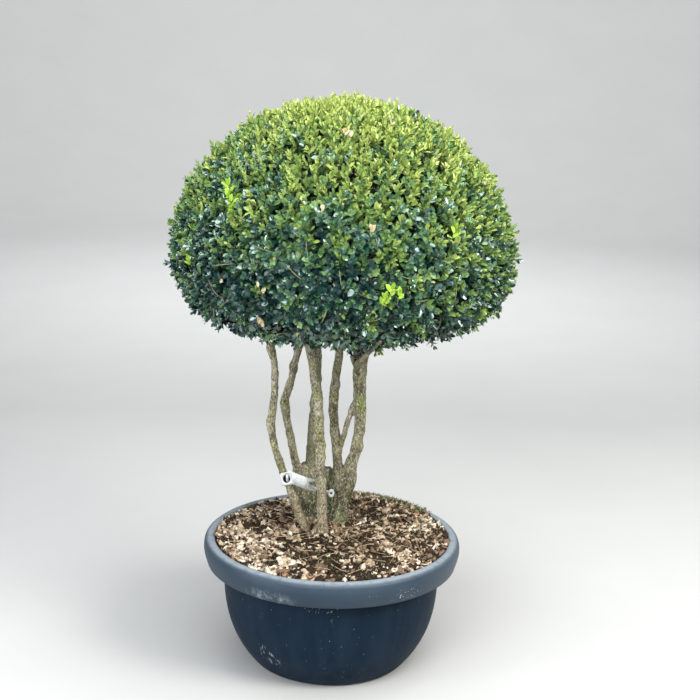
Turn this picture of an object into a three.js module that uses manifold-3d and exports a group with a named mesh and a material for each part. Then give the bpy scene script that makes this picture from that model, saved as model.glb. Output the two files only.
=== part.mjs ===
// A potted boxwood ball: a clipped ball of small leaves on six bare stems and a fork, in a bowl pot
// Millimetres, +Z up, the front towards -Y, the origin at the middle of the pot's flat underside

import * as THREE from "three";
import { mergeVertices } from "three/addons/utils/BufferGeometryUtils.js";
import Module from "manifold-3d";

const wasm = await Module();
wasm.setup();

// The gap between pieces that touch on the real plant
const seat = 0.3;

// Pot: a bowl with a down-turned rim, and the wall's swell from the collar to the base
const potHeight = 300;
const potWall = 4;
const potSides = 40;
const rimRadius = 300;
const rimMouthRadius = 275;
const rimDepth = 58;
const rimFootRadius = 291;
const rimHollowDepth = 28;
const collarRadius = 249;
const collarDepth = 18;
const bowlRadius = 252;
const baseRadius = 178;
const bowlPower = 3.07;
const bowlSteps = 6;
const innerWallShares = [0.22, 0.6, 1];
const floorThickness = 5;
const drainCount = 6;
const drainRadius = 7;
const drainCircleRadius = 125;

// Soil: level round the stems, falling a little towards the rim
const soilTop = potHeight + 3;
const soilLevelRadius = 168;
const soilEdge = potHeight - 9;

// Crown: the clipped outline round its centre, an oval above its widest place and a flatter one below
const crownCentre = new THREE.Vector3(7, 30, 983);
const crownRadius = 388;
const crownRise = 334;
const crownDrop = 196;
const risePower = 1.92;
const dropPower = 2.96;

// Foliage inside that outline: a core, and twigs and leaves that stand out of it
const coreInset = 46;
const coreDetail = 3;
const twigCount = 100;
const twigWidth = 9;
const twigUplift = 0.5;
const leafLength = 66;
const leafWidth = 44;
const leafThickness = 3;
const leafSplay = 1.05;
const coreLeafCount = 620;
const rootDepth = 12;
const stemClearance = 6;
const outlineProud = 1.02;
const goldenAngle = Math.PI * (3 - Math.sqrt(5));

// Where the stems end, inside the crown's underside
const tipHeight = 815;
const stubTop = 860;

// The stump that four of the stems rise from: a lobe under each pair, and a bare one between
const leftLobe = { foot: [-58, 104], head: [-63, 92], top: 441, footWidth: 62, headWidth: 72 };
const rightLobe = { foot: [11, 96], head: [28, 85], top: 440, footWidth: 46, headWidth: 62 };
const bareLobe = { foot: [-22, 110], head: [-14, 102], top: 430, footWidth: 50, headWidth: 34 };

// The stems: the places that each one's middle passes through, its width at the foot and the tip,
// and how late it widens or narrows between them, where that isn't even
const stems = [
  {
    name: "stem_far_left",
    path: [[-61, 18, soilTop + seat], [-99, 8, 403], [-136, -3, 504], [-148, -11, 575],
      [-140, -18, 620], [-138, -27, 705], [-149, -32, 762], [-166, -38, tipHeight]],
    footWidth: 20, tipWidth: 17, flare: 4, knees: [575],
  },
  {
    name: "stem_left",
    path: [[-89, 83, leftLobe.top + seat], [-99, 76, 479], [-112, 65, 550], [-121, 57, 600],
      [-103, 50, 655], [-96, 43, 708], [-83, 37, 750], [-62, 30, tipHeight]],
    footWidth: 19, tipWidth: 17, flare: 1, knees: [602],
  },
  {
    name: "stem_front",
    path: [[-22, -4, soilTop + seat], [-25, -9, 386], [-32, -15, 500], [-40, -22, 630],
      [-44, -25, 665], [-54, -28, 728], [-69, -34, tipHeight]],
    footWidth: 22, tipWidth: 24, flare: 6, knees: [],
  },
  {
    name: "stem_back",
    path: [[-55, 95, leftLobe.top + seat], [-55, 94, 474], [-53, 91, 550], [-48, 89, 610],
      [-45, 87, 660], [-46, 85, 730], [-44, 84, tipHeight]],
    footWidth: 23, tipWidth: 18, flare: 3, knees: [],
  },
  {
    name: "stem_middle",
    path: [[10.5, 84, rightLobe.top + seat], [8, 82, 462], [-1, 76, 535], [-6, 71, 592],
      [-2, 66, 655], [4, 62, 708], [13, 56, tipHeight]],
    footWidth: 23, tipWidth: 20, flare: 0, knees: [],
  },
  {
    name: "stem_right",
    path: [[40, 79, rightLobe.top + seat], [44, 75, 458], [50, 69, 484], [55.5, 62, 520],
      [58, 53, 575], [55, 43, 640], [55, 33, 700], [57, 20, tipHeight]],
    footWidth: 25, tipWidth: 45, flare: 6, knees: [], lateness: 2,
  },
];
const stemSides = 8;
const stemStep = 45;
const kneeHeight = 16;
const kneeSwell = 0.22;

// The fork that leaves the middle stem and grows on to the right one
const fork = {
  name: "stem_fork",
  path: [[9, 80, 462], [16, 71, 503], [30, 58, 562], [42, 50, 600], [56, 46, 632]],
  footWidth: 13, tipWidth: 15, flare: 0, knees: [],
};

// A blank plastic tag, threaded between the two front stems
const tag = {
  thickness: 1.4,
  path: [[-124, -6.5], [-96, -5.5], [-66, -3], [-44, 4], [-28, 7.5], [-10, 8], [-4, 10]],
  headLeft: -124, headRight: -96, headHeight: 28,
  stripHeight: 19, stripRight: -5,
  headMiddle: 430, stripFall: 0.34,
};

// Draws in 0..1 that are the same every run
function makeDraw(seed) {
  let state = seed;
  return () => {
    state = (state * 1664525 + 1013904223) % 4294967296;
    return state / 4294967296;
  };
}

// Closed geometry with only its shared points left, and no collapsed faces
function bareGeometry(geometry) {
  const bare = geometry.clone();
  bare.deleteAttribute("normal");
  bare.deleteAttribute("uv");
  const merged = mergeVertices(bare, 1e-3);
  const corners = merged.index.array;
  const kept = [];
  for (let i = 0; i < corners.length; i += 3) {
    const [a, b, c] = corners.slice(i, i + 3);
    if (a !== b && b !== c && c !== a) kept.push(a, b, c);
  }
  merged.setIndex(kept);
  return merged;
}

function toSolid(geometry) {
  const bare = bareGeometry(geometry);
  return new wasm.Manifold(new wasm.Mesh({
    numProp: 3,
    vertProperties: new Float32Array(bare.attributes.position.array),
    triVerts: new Uint32Array(bare.index.array),
  }));
}

function toGeometry(solid) {
  const mesh = solid.getMesh();
  const geometry = new THREE.BufferGeometry();
  geometry.setAttribute("position", new THREE.BufferAttribute(mesh.vertProperties, 3));
  geometry.setIndex(new THREE.BufferAttribute(mesh.triVerts, 1));
  geometry.computeVertexNormals();
  return geometry;
}

function joinAll(solids) {
  return solids.reduce((joined, next) => joined.add(next));
}

// The one body that counts: loose scraps go, and sealed hollows are filled
function largestBody(solid) {
  const bodies = solid.decompose();
  return bodies.reduce((best, next) => (next.volume() > best.volume() ? next : best));
}

function piece(name, geometry, material) {
  const mesh = new THREE.Mesh(geometry, material);
  mesh.name = name;
  return mesh;
}

// A profile of [radius, height] pairs turned round the Z axis
function turned(profile, sides) {
  const points = profile.map(([radius, height]) => new THREE.Vector2(radius, height));
  return new THREE.LatheGeometry(points, sides).rotateX(Math.PI / 2);
}

// The pot's outer radius at a height between its flat base and its collar
function bowlRadiusAt(height) {
  const depth = (potHeight - rimDepth - height) / (potHeight - rimDepth);
  return bowlRadius - (bowlRadius - baseRadius) * depth ** bowlPower;
}

// The outer wall's heights from the base to the collar, closer together where it curves most
function bowlHeights() {
  const top = potHeight - rimDepth - collarDepth;
  return Array.from({ length: bowlSteps + 1 }, (_, i) => top * (i / bowlSteps) ** 1.35);
}

// The pot's inner wall from the floor to the mouth, moved inwards by a clearance
function innerWall(clearance) {
  const wall = innerWallShares.map((share) => {
    const height = share * (potHeight - rimDepth - collarDepth);
    return [bowlRadiusAt(height) - potWall, height];
  });
  const throat = [
    [baseRadius - potWall, floorThickness],
    ...wall,
    [collarRadius - potWall, potHeight - rimDepth],
    [rimMouthRadius - 14, potHeight - 22],
    [rimMouthRadius - 2, potHeight - 8],
  ];
  return throat.map(([radius, height]) => [radius - clearance, height]);
}

function potGeometry() {
  const collarFoot = potHeight - rimDepth - collarDepth;
  const bowl = bowlHeights().map((height) => [bowlRadiusAt(height), height]);
  bowl[0] = [baseRadius - 5, 0];
  const outside = [
    ...bowl,
    [collarRadius, collarFoot + 2],
    [collarRadius, potHeight - rimDepth],
    [rimMouthRadius - 10, potHeight - rimDepth + rimHollowDepth],
    [rimFootRadius - 4, potHeight - rimDepth + rimHollowDepth],
    [rimFootRadius - potWall, potHeight - rimDepth],
    [rimFootRadius, potHeight - rimDepth],
    [rimRadius - 3, potHeight - 38],
    [rimRadius, potHeight - 21],
    [rimRadius - 4, potHeight - 7],
    [rimRadius - 12, potHeight],
    [rimMouthRadius + 5, potHeight],
    [rimMouthRadius, potHeight - 3],
  ];
  const inside = innerWall(0).reverse();
  const shell = toSolid(turned([[0, 0], ...outside, ...inside, [0, floorThickness]], potSides));
  const drains = [];
  for (let i = 0; i < drainCount; i++) {
    const angle = ((i + 0.5) / drainCount) * 2 * Math.PI;
    const hole = new THREE.CylinderGeometry(drainRadius, drainRadius, floorThickness * 3, 8);
    hole.rotateX(Math.PI / 2);
    hole.translate(drainCircleRadius * Math.cos(angle), drainCircleRadius * Math.sin(angle), 0);
    drains.push(toSolid(hole));
  }
  return toGeometry(shell.subtract(joinAll(drains)));
}

function soilGeometry() {
  const wall = innerWall(seat);
  wall[0][1] += seat;
  const sides = wall.filter(([, height]) => height < soilEdge - 2);
  const [outer, inner] = [wall.at(-1), wall.at(-2)];
  const share = (soilEdge - inner[1]) / (outer[1] - inner[1]);
  const edgeRadius = inner[0] + (outer[0] - inner[0]) * share;
  const profile = [
    [0, floorThickness + seat],
    ...sides,
    [edgeRadius, soilEdge],
    [soilLevelRadius, soilTop],
    [0, soilTop],
  ];
  return bareGeometry(turned(profile, potSides));
}

// One limb: a cylinder bent along its path, each ring as wide as the limb is there, with level ends
function limbGeometry({ path, footWidth, tipWidth, flare, knees, lateness = 1 }, grow = 0) {
  const curve = new THREE.CatmullRomCurve3(path.map((place) => new THREE.Vector3(...place)));
  const steps = Math.round(curve.getLength() / stemStep);
  const frames = curve.computeFrenetFrames(steps);
  const geometry = new THREE.CylinderGeometry(1, 1, 1, stemSides, steps);
  const places = geometry.attributes.position;
  const up = new THREE.Vector3(0, 0, 1);
  for (let i = 0; i < places.count; i++) {
    const share = places.getY(i) + 0.5;
    const ring = Math.round(share * steps);
    const middle = curve.getPointAt(share);
    const along = ring === 0 || ring === steps ? up : frames.tangents[ring];
    const swell = knees.reduce((sum, knee) =>
      sum + kneeSwell * Math.exp(-(((middle.z - knee) / kneeHeight) ** 2)), 1);
    const change = (tipWidth - footWidth) * share ** lateness;
    const width = footWidth + change + flare * Math.exp(-share * 14);
    const radius = (width / 2) * swell + grow;
    const across = new THREE.Vector3(1, 0, 0).addScaledVector(along, -along.x).normalize();
    const beside = new THREE.Vector3().crossVectors(along, across);
    middle.addScaledVector(across, places.getX(i) * radius);
    middle.addScaledVector(beside, -places.getZ(i) * radius);
    places.setXYZ(i, middle.x, middle.y, middle.z);
  }
  return bareGeometry(geometry);
}

// One lobe of the stump: a leaning, flaring block from the soil to the stems' feet
function lobeSolid({ foot, head, top, footWidth, headWidth }) {
  const floor = soilTop + seat;
  const geometry = new THREE.CylinderGeometry(1, 1, 1, 12, 3);
  const places = geometry.attributes.position;
  for (let i = 0; i < places.count; i++) {
    const share = places.getY(i) + 0.5;
    const radius = (headWidth + (footWidth - headWidth) * (1 - share) ** 2) / 2;
    const x = foot[0] + (head[0] - foot[0]) * share + places.getX(i) * radius;
    const y = foot[1] + (head[1] - foot[1]) * share - places.getZ(i) * radius;
    places.setXYZ(i, x, y, floor + (top - floor) * share);
  }
  return toSolid(geometry);
}

function stumpGeometry() {
  return toGeometry(joinAll([leftLobe, rightLobe, bareLobe].map(lobeSolid)));
}

function forkGeometry() {
  const carriers = stems.filter(({ name }) => name === "stem_middle" || name === "stem_right");
  const cut = joinAll(carriers.map((stem) => toSolid(limbGeometry(stem, seat))));
  return toGeometry(largestBody(toSolid(limbGeometry(fork)).subtract(cut)));
}

// A ribbon along a plan curve, cut to a square head and a sloping strip, kept clear of the stems
function tagGeometry() {
  const line = new THREE.CatmullRomCurve3(tag.path.map(([x, y]) => new THREE.Vector3(x, y, 0)));
  const middle = line.getPoints(18);
  const back = middle.map(({ x, y }) => new THREE.Vector2(x, y + tag.thickness / 2));
  const front = middle.map(({ x, y }) => new THREE.Vector2(x, y - tag.thickness / 2)).reverse();
  const ribbon = new THREE.ExtrudeGeometry(new THREE.Shape([...back, ...front]), {
    depth: 200, bevelEnabled: false,
  }).translate(0, 0, tag.headMiddle - 100);

  const fallTo = (x) => tag.headMiddle - (x - tag.headRight) * tag.stripFall;
  const headHalf = tag.headHeight / 2;
  const stripHalf = tag.stripHeight / 2;
  const side = new THREE.Shape([
    [tag.headLeft, tag.headMiddle + headHalf], [tag.headLeft + 4, tag.headMiddle - headHalf],
    [tag.headRight, tag.headMiddle - headHalf + 2], [tag.headRight, fallTo(tag.headRight) - stripHalf],
    [tag.stripRight, fallTo(tag.stripRight) - stripHalf / 2],
    [tag.stripRight, fallTo(tag.stripRight) + stripHalf / 2],
    [tag.headRight, fallTo(tag.headRight) + stripHalf], [tag.headRight, tag.headMiddle + headHalf],
  ].map(([x, z]) => new THREE.Vector2(x, z)));
  const outline = new THREE.ExtrudeGeometry(side, { depth: 120, bevelEnabled: false });
  outline.rotateX(Math.PI / 2).translate(0, 60, 0);

  const near = stems.filter(({ name }) => name === "stem_far_left" || name === "stem_front");
  const cut = joinAll(near.map((stem) => toSolid(limbGeometry(stem, seat))));
  return toGeometry(largestBody(toSolid(ribbon).intersect(toSolid(outline)).subtract(cut)));
}

// The crown's profile at an angle from its top, 0, to its underside, pi, as [radius, height]
function crownProfile(angle) {
  const sine = Math.sin(angle);
  const cosine = Math.cos(angle);
  const [power, reach] = cosine > 0 ? [risePower, crownRise] : [dropPower, crownDrop];
  const scale = (Math.abs(sine) ** power + Math.abs(cosine) ** power) ** (-1 / power);
  return [crownRadius * sine * scale, reach * cosine * scale];
}

// Places spread evenly over the crown's outline, each with the way out of the crown there
function evenPlaces(count, draw) {
  const steps = 200;
  const rings = Array.from({ length: steps + 1 }, (_, i) => crownProfile((i / steps) * Math.PI));
  const areas = [0];
  for (let i = 1; i <= steps; i++) {
    const [r0, z0] = rings[i - 1];
    const [r1, z1] = rings[i];
    areas.push(areas[i - 1] + (r0 + r1) * Math.hypot(r1 - r0, z1 - z0));
  }
  const places = [];
  for (let i = 0; i < count; i++) {
    const wanted = ((i + 0.2 + 0.6 * draw()) / count) * areas[steps];
    const next = areas.findIndex((area) => area >= wanted);
    const share = (wanted - areas[next - 1]) / (areas[next] - areas[next - 1]);
    const [r0, z0] = rings[next - 1];
    const [r1, z1] = rings[next];
    const angle = i * goldenAngle + (draw() - 0.5) * 0.12;
    const [cosine, sine] = [Math.cos(angle), Math.sin(angle)];
    const radius = r0 + (r1 - r0) * share;
    const out = new THREE.Vector3((z0 - z1) * cosine, (z0 - z1) * sine, r1 - r0).normalize();
    places.push({
      place: new THREE.Vector3(radius * cosine, radius * sine, z0 + (z1 - z0) * share),
      out,
    });
  }
  return places;
}

// A twig of three sides from one place to a point at another
function twigSolid(from, to) {
  const along = new THREE.Vector3().subVectors(to, from);
  const geometry = new THREE.ConeGeometry(twigWidth / 2, along.length(), 3);
  geometry.translate(0, along.length() / 2, 0);
  geometry.applyQuaternion(
    new THREE.Quaternion().setFromUnitVectors(new THREE.Vector3(0, 1, 0), along.clone().normalize()));
  return toSolid(geometry.translate(from.x, from.y, from.z));
}

// A leaf of eight faces: its root, the way it points, the way its face looks, and its length
function leafGeometry({ root, along, face, length }) {
  const beside = new THREE.Vector3().crossVectors(face, along).normalize();
  const flat = new THREE.Vector3().crossVectors(along, beside);
  const axes = new THREE.Matrix4().makeBasis(along, beside, flat);
  const geometry = new THREE.OctahedronGeometry(1, 0);
  geometry.scale(length / 2, (leafWidth / leafLength) * (length / 2), leafThickness / 2);
  geometry.translate(length / 2, 0, 0);
  return geometry.applyMatrix4(axes.setPosition(root));
}

// How near a place comes to the middle of the nearest stem, less that stem's width
function stemDistance(place) {
  return Math.min(...stemLines.map(({ points, radius }) =>
    Math.min(...points.map((point) => point.distanceTo(place))) - radius));
}

// How far out a place lies as a share of the crown's outline, or of an outline inset from it
function outlineShare({ x, y, z }, inset = 0) {
  const [power, reach] = z > 0 ? [risePower, crownRise] : [dropPower, crownDrop];
  const level = Math.hypot(x, y) / (crownRadius - inset);
  return (level ** power + Math.abs(z / (reach - inset)) ** power) ** (1 / power);
}

// Whether a leaf keeps inside the crown's own space and clear of the stems
function leafFits(geometry) {
  const corners = geometry.attributes.position;
  const corner = new THREE.Vector3();
  for (let i = 0; i < corners.count; i++) {
    corner.fromBufferAttribute(corners, i);
    if (outlineShare(corner) > outlineProud || stemDistance(corner) < stemClearance) return false;
  }
  return true;
}

// The leaf that ends a shoot, and a pair below it opened to either side by the splay
function shootLeaves(tip, along, out, draw) {
  const level = new THREE.Vector3(-along.y, along.x, 0).normalize();
  const side = level.applyAxisAngle(along, draw() * Math.PI);
  const face = out.clone().addScaledVector(side, draw() - 0.5).addScaledVector(along, -0.5);
  const leaves = [{
    root: tip.clone().addScaledVector(along, -rootDepth), along, face, length: leafLength,
  }];
  for (const way of [1, -1]) {
    const open = along.clone().multiplyScalar(Math.cos(leafSplay))
      .addScaledVector(side, way * Math.sin(leafSplay));
    leaves.push({
      root: tip.clone().addScaledVector(along, -rootDepth * 1.8), along: open, face: along,
      length: leafLength * (0.85 + 0.15 * draw()),
    });
  }
  return leaves;
}

// The core: an even ball drawn in to the crown's outline, less the leaves' depth
function coreSolid() {
  const core = new THREE.IcosahedronGeometry(1, coreDetail);
  const corners = core.attributes.position;
  const corner = new THREE.Vector3();
  for (let i = 0; i < corners.count; i++) {
    corner.fromBufferAttribute(corners, i);
    corner.divideScalar(outlineShare(corner, coreInset));
    corners.setXYZ(i, corner.x, corner.y, corner.z);
  }
  return toSolid(core);
}

// The stubs that carry the crown, each standing over the tip of its stem
function stubSolids() {
  return stems.map(({ path, tipWidth }) => {
    const [x, y] = path.at(-1);
    const foot = tipHeight + seat;
    const stub = new THREE.CylinderGeometry(tipWidth / 2, tipWidth / 2, stubTop - foot, stemSides);
    stub.rotateX(Math.PI / 2).translate(x, y, (stubTop + foot) / 2);
    return toSolid(stub.translate(-crownCentre.x, -crownCentre.y, -crownCentre.z));
  });
}

// The crown: stubs, core, twigs that climb out of it, and leaves that cut neither stem nor leaf
function foliageGeometry() {
  const draw = makeDraw(20);
  const kept = [];
  const addLeaves = (leaves) => {
    const solids = leaves.map(leafGeometry).filter(leafFits).map((geometry) => {
      geometry.computeBoundingSphere();
      return { solid: toSolid(geometry), middle: geometry.boundingSphere.center };
    });
    const clear = solids.filter(({ solid, middle }) => kept.every((other) =>
      other.middle.distanceTo(middle) > leafLength || solid.intersect(other.solid).isEmpty()));
    kept.push(...clear);
  };

  const twigs = [];
  for (const { place, out } of evenPlaces(twigCount, draw)) {
    const along = out.clone().add(new THREE.Vector3(draw() - 0.5, draw() - 0.5, draw() - 0.5));
    if (out.z > -0.5) along.z += twigUplift;
    along.normalize();
    const tip = place.clone().addScaledVector(along, rootDepth - leafLength);
    const root = place.clone().addScaledVector(out, -coreInset - 2 * rootDepth);
    if (stemDistance(tip) < stemClearance) continue;
    twigs.push(twigSolid(root, tip));
    addLeaves(shootLeaves(tip, along, out, draw));
  }
  for (const { place, out } of evenPlaces(coreLeafCount, draw)) {
    const lean = new THREE.Vector3(draw() - 0.5, draw() - 0.5, draw() - 0.2);
    const along = out.clone().addScaledVector(lean, 2.2).normalize();
    const root = place.clone().addScaledVector(out, -coreInset - rootDepth);
    addLeaves([{ root, along, face: out, length: leafLength * (0.9 + 0.2 * draw()) }]);
  }
  const solids = [coreSolid(), ...stubSolids(), ...twigs, ...kept.map(({ solid }) => solid)];
  return toGeometry(largestBody(wasm.Manifold.union(solids)));
}

// Each stem's middle line in the crown's own frame, which the leaves keep clear of
const stemLines = stems.map(({ path, tipWidth }) => {
  const curve = new THREE.CatmullRomCurve3(path.map((place) => new THREE.Vector3(...place)));
  const points = curve.getSpacedPoints(60).filter(({ z }) => z > 700);
  return { points: points.map((point) => point.sub(crownCentre)), radius: tipWidth / 2 };
});

const plastic = new THREE.MeshStandardMaterial({ color: 0x2b3844, roughness: 0.45, metalness: 0 });
const mulch = new THREE.MeshStandardMaterial({ color: 0x8a6d4c, roughness: 0.95, metalness: 0 });
const bark = new THREE.MeshStandardMaterial({ color: 0x8b8264, roughness: 0.9, metalness: 0 });
const leaf = new THREE.MeshStandardMaterial({ color: 0x4f7a35, roughness: 0.5, metalness: 0 });
const tagPlastic = new THREE.MeshStandardMaterial({ color: 0xf2f2ee, roughness: 0.4, metalness: 0 });

const plant = new THREE.Group();
plant.add(piece("pot", potGeometry(), plastic.clone()));
plant.add(piece("soil", soilGeometry(), mulch.clone()));
plant.add(piece("stump", stumpGeometry(), bark.clone()));
for (const stem of stems) plant.add(piece(stem.name, limbGeometry(stem), bark.clone()));
plant.add(piece(fork.name, forkGeometry(), bark.clone()));
plant.add(piece("plant_tag", tagGeometry(), tagPlastic.clone()));

const foliage = piece("foliage", foliageGeometry(), leaf.clone());
foliage.position.copy(crownCentre);
plant.add(foliage);

export default plant;
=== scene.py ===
# Potted boxwood ball: a clipped crown of small leaves on bare stems, in a bowl pot topped with bark
# Metres, +Z up, the origin at the middle of the pot's underside
import math

import bmesh
import bpy
import numpy as np
from mathutils import Matrix, Vector, kdtree


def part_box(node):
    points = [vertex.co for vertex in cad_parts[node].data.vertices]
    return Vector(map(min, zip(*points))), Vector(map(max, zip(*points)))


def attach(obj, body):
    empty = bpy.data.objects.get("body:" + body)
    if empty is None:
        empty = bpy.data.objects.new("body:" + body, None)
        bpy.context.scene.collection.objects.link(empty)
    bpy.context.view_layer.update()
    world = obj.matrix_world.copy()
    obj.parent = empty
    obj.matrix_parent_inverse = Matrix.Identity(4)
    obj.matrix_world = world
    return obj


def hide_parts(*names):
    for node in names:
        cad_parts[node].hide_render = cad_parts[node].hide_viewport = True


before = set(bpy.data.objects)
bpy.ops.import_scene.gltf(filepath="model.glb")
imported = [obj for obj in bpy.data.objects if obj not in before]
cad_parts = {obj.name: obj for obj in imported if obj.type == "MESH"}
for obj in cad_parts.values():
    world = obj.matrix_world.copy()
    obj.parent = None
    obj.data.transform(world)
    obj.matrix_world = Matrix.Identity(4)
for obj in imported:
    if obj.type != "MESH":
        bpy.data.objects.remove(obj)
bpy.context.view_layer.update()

random = np.random.default_rng(41)

# Pot, from the frame where the frame has it
POT_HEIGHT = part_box("pot")[1][2]
RIM_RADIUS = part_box("pot")[1][0]
MOUTH_RADIUS = 0.275
RIM_FOOT = POT_HEIGHT - 0.058
RIM_FOOT_RADIUS = 0.291
COLLAR_RADIUS = 0.249
COLLAR_FOOT = RIM_FOOT - 0.018
BOWL_RADIUS = 0.252
BASE_RADIUS = 0.178
BOWL_POWER = 3.07
POT_WALL = 0.004
POT_SIDES = 192
DRAIN_COUNT = 6
DRAIN_RADIUS = 0.007
DRAIN_CIRCLE = 0.125

# Soil: its level part, and its edge against the pot
SOIL_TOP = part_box("soil")[1][2]
SOIL_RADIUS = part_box("soil")[1][0]
SOIL_LEVEL_RADIUS = 0.168
SOIL_LEVEL = SOIL_TOP - 0.004
SOIL_EDGE = POT_HEIGHT - 0.0055
SOIL_DEPTH = 0.06
SOIL_RINGS = 90
SOIL_SIDES = 180
# The heap on the rim's lip: the angles that it lies between, and how far out it reaches
HEAP_START = 22
HEAP_END = 96
HEAP_REACH = MOUTH_RADIUS + 0.0115

# Crown: the clipped outline round its centre
CROWN_CENTRE = np.array([0.007, 0.030, 0.983])
CROWN_RADIUS = 0.388
CROWN_RISE = 0.334
CROWN_DROP = 0.196
RISE_POWER = 1.92
DROP_POWER = 2.96
OUTLINE_STEPS = 200
GOLDEN_ANGLE = math.pi * (3 - math.sqrt(5))

# Limbs inside the crown, level by level; the inset is how far in from the outline they end
LIMB_LEVELS = [
    {"count": 44, "inset": 0.150, "widths": (0.0095, 0.0055), "sides": 6, "steps": 9},
    {"count": 300, "inset": 0.085, "widths": (0.0050, 0.0030), "sides": 5, "steps": 7},
    {"count": 1300, "inset": 0.052, "widths": (0.0026, 0.0018), "sides": 4, "steps": 5},
]

# Leafy shoots: the outer ones that reach the outline, and a darker layer that closes the view inwards
SHOOT_COUNT = 6900
INNER_COUNT = 2300
INNER_INSET = 0.050
SHOOT_WIDTHS = (0.0017, 0.0009)
SHOOT_STEPS = 3
PAIRS_PER_SHOOT = 5
INNER_PAIRS = 3
OLD_LEAF = {"length": 0.0192, "width": 0.60, "spacing": 0.0074, "spread": [26, 48, 62, 70, 76]}
YOUNG_LEAF = {"length": 0.0174, "width": 0.47, "spacing": 0.0088, "spread": [12, 24, 34, 43, 52]}
SPRIG_LEAF = {"length": 0.0205, "width": 0.54, "spacing": 0.0075, "spread": [10, 26, 42, 54, 62]}
# How much of their length the leaves have at a shoot's tip, in the next pair and from there on
GROWN_SHARES = [0.55, 0.86, 1.0]
TWIG_TRIES = 250
# Seeds of the draws for each layer's places
LIMB_SEED, SHOOT_SEED, INNER_SEED, TWIG_SEED = 20, 77, 55, 91
# Noise over the crown, as size, seed and octaves: patches of younger growth, and gaps
PATCH_NOISE = (0.075, 173, 2)
GAP_NOISE = (0.034, 265, 2)
# What stands for the patch of shoots deep inside and under the crown, which never have a tan leaf
NO_PATCH = -1.6

# Sprigs that stand out in the crown: the tip, how long, the tint and the pairs of leaves
LANDMARKS = [
    ((0.112, -0.360, 0.970), 0.038, "lime", 4), ((0.127, -0.352, 0.956), 0.030, "lime", 3),
    ((0.101, -0.360, 0.951), 0.030, "lime", 4), ((0.094, -0.358, 0.936), 0.020, "lime", 2),
    ((-0.230, -0.220, 1.150), 0.050, "lime", 6), ((-0.225, -0.238, 1.126), 0.045, "lime", 5),
    ((-0.221, -0.248, 1.100), 0.040, "lime", 4), ((-0.219, -0.256, 1.080), 0.030, "spring", 3),
    ((0.240, -0.264, 1.076), 0.040, "lime", 4), ((0.244, -0.264, 1.050), 0.032, "spring", 4),
    ((-0.314, -0.192, 0.984), 0.030, "lime", 3),
    ((-0.153, -0.334, 0.886), 0.014, "tan", 2), ((-0.147, -0.332, 0.880), 0.014, "tan", 2),
    ((0.008, -0.190, 1.256), 0.020, "tan", 2), ((0.018, -0.196, 1.252), 0.020, "tan", 2),
    ((0.066, -0.350, 1.082), 0.016, "tan", 2), ((-0.155, -0.350, 0.960), 0.016, "tan", 1),
]
# A cut stub and a thin branch by the top of the thickest stem: places and radii
SIDE_TWIGS = [
    ([(0.047, 0.030, 0.703), (0.042, 0.020, 0.709), (0.038, 0.012, 0.721), (0.0355, 0.006, 0.731)],
     [0.0058, 0.0054, 0.0052, 0.0046]),
    ([(0.052, 0.026, 0.694), (0.0475, 0.0020, 0.7154), (0.0604, -0.0500, 0.7402), (0.0703, -0.1200, 0.7700),
      (0.0795, -0.2050, 0.8030), (0.0865, -0.2700, 0.8273), (0.0925, -0.3150, 0.8461)],
     [0.0060, 0.0059, 0.0055, 0.0049, 0.0043, 0.0038, 0.0028]),
]
# Where a few shoots hang below the crown, by the thickest stem
HANGING = [
    {"middle": (0.066, -0.024, 0.762), "reach": (0.016, 0.012, 0.007), "count": 20, "tint": None},
    {"middle": (0.101, -0.034, 0.754), "reach": (0.009, 0.006, 0.004), "count": 4, "tint": "spring"},
]

# Leaf tints as linear colours: old leaves from the shade outwards, the new growth, and rare ones
OLD_TINTS = {
    "deep": (0.003, 0.026, 0.024),
    "shade": (0.010, 0.060, 0.048),
    "green": (0.056, 0.148, 0.070),
    "leafy": (0.115, 0.218, 0.068),
}
YOUNG_TINTS = {
    "fresh": (0.162, 0.274, 0.084),
    "spring": (0.303, 0.400, 0.105),
    "bright": (0.412, 0.498, 0.132),
    "pale": (0.555, 0.605, 0.275),
}
ALL_TINTS = {**OLD_TINTS, **YOUNG_TINTS, "lime": (0.340, 0.520, 0.065), "tan": (0.600, 0.500, 0.330)}
TINT_NAMES = list(ALL_TINTS)
# What stands for a shoot's tint where its age and place decide
BY_AGE = -1
# Where one tint gives way to the next, and the share of leaves that are dry and tan
OLD_LEVELS = [0.20, 0.40, 0.66]
YOUNG_LEVELS = [0.20, 0.47, 0.80]
TAN_SHARE = 0.0025
LEAF_GLOSS = {"deep": 0.55, "shade": 1.0, "green": 1.0, "leafy": 0.5}

# Bark chips: tint, share of all chips
CHIP_COUNT = 5400
CHIP_TINTS = [
    ("cream", (0.715, 0.625, 0.500), 0.14),
    ("straw", (0.480, 0.370, 0.260), 0.24),
    ("brown", (0.182, 0.124, 0.083), 0.24),
    ("rust", (0.350, 0.200, 0.120), 0.04),
    ("dark", (0.040, 0.026, 0.017), 0.34),
]
# How far out the chips and crumbs lie
BED_RADIUS = SOIL_RADIUS - 0.003
CRUMB_COUNT = 6000
STRAW_COUNT = 170
MOSS_TRIES = 60000
# Bare dark places in the mulch: x, y, radius
BARE_PATCHES = [
    (-0.083, -0.050, 0.060), (-0.024, -0.150, 0.070), (0.040, -0.222, 0.072), (-0.123, 0.085, 0.050),
    (0.100, 0.120, 0.046), (-0.010, -0.085, 0.066), (0.055, -0.045, 0.035), (-0.185, 0.030, 0.035),
    (0.165, -0.010, 0.032), (-0.130, -0.165, 0.032), (-0.040, 0.200, 0.060), (0.120, -0.165, 0.042),
]

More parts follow.
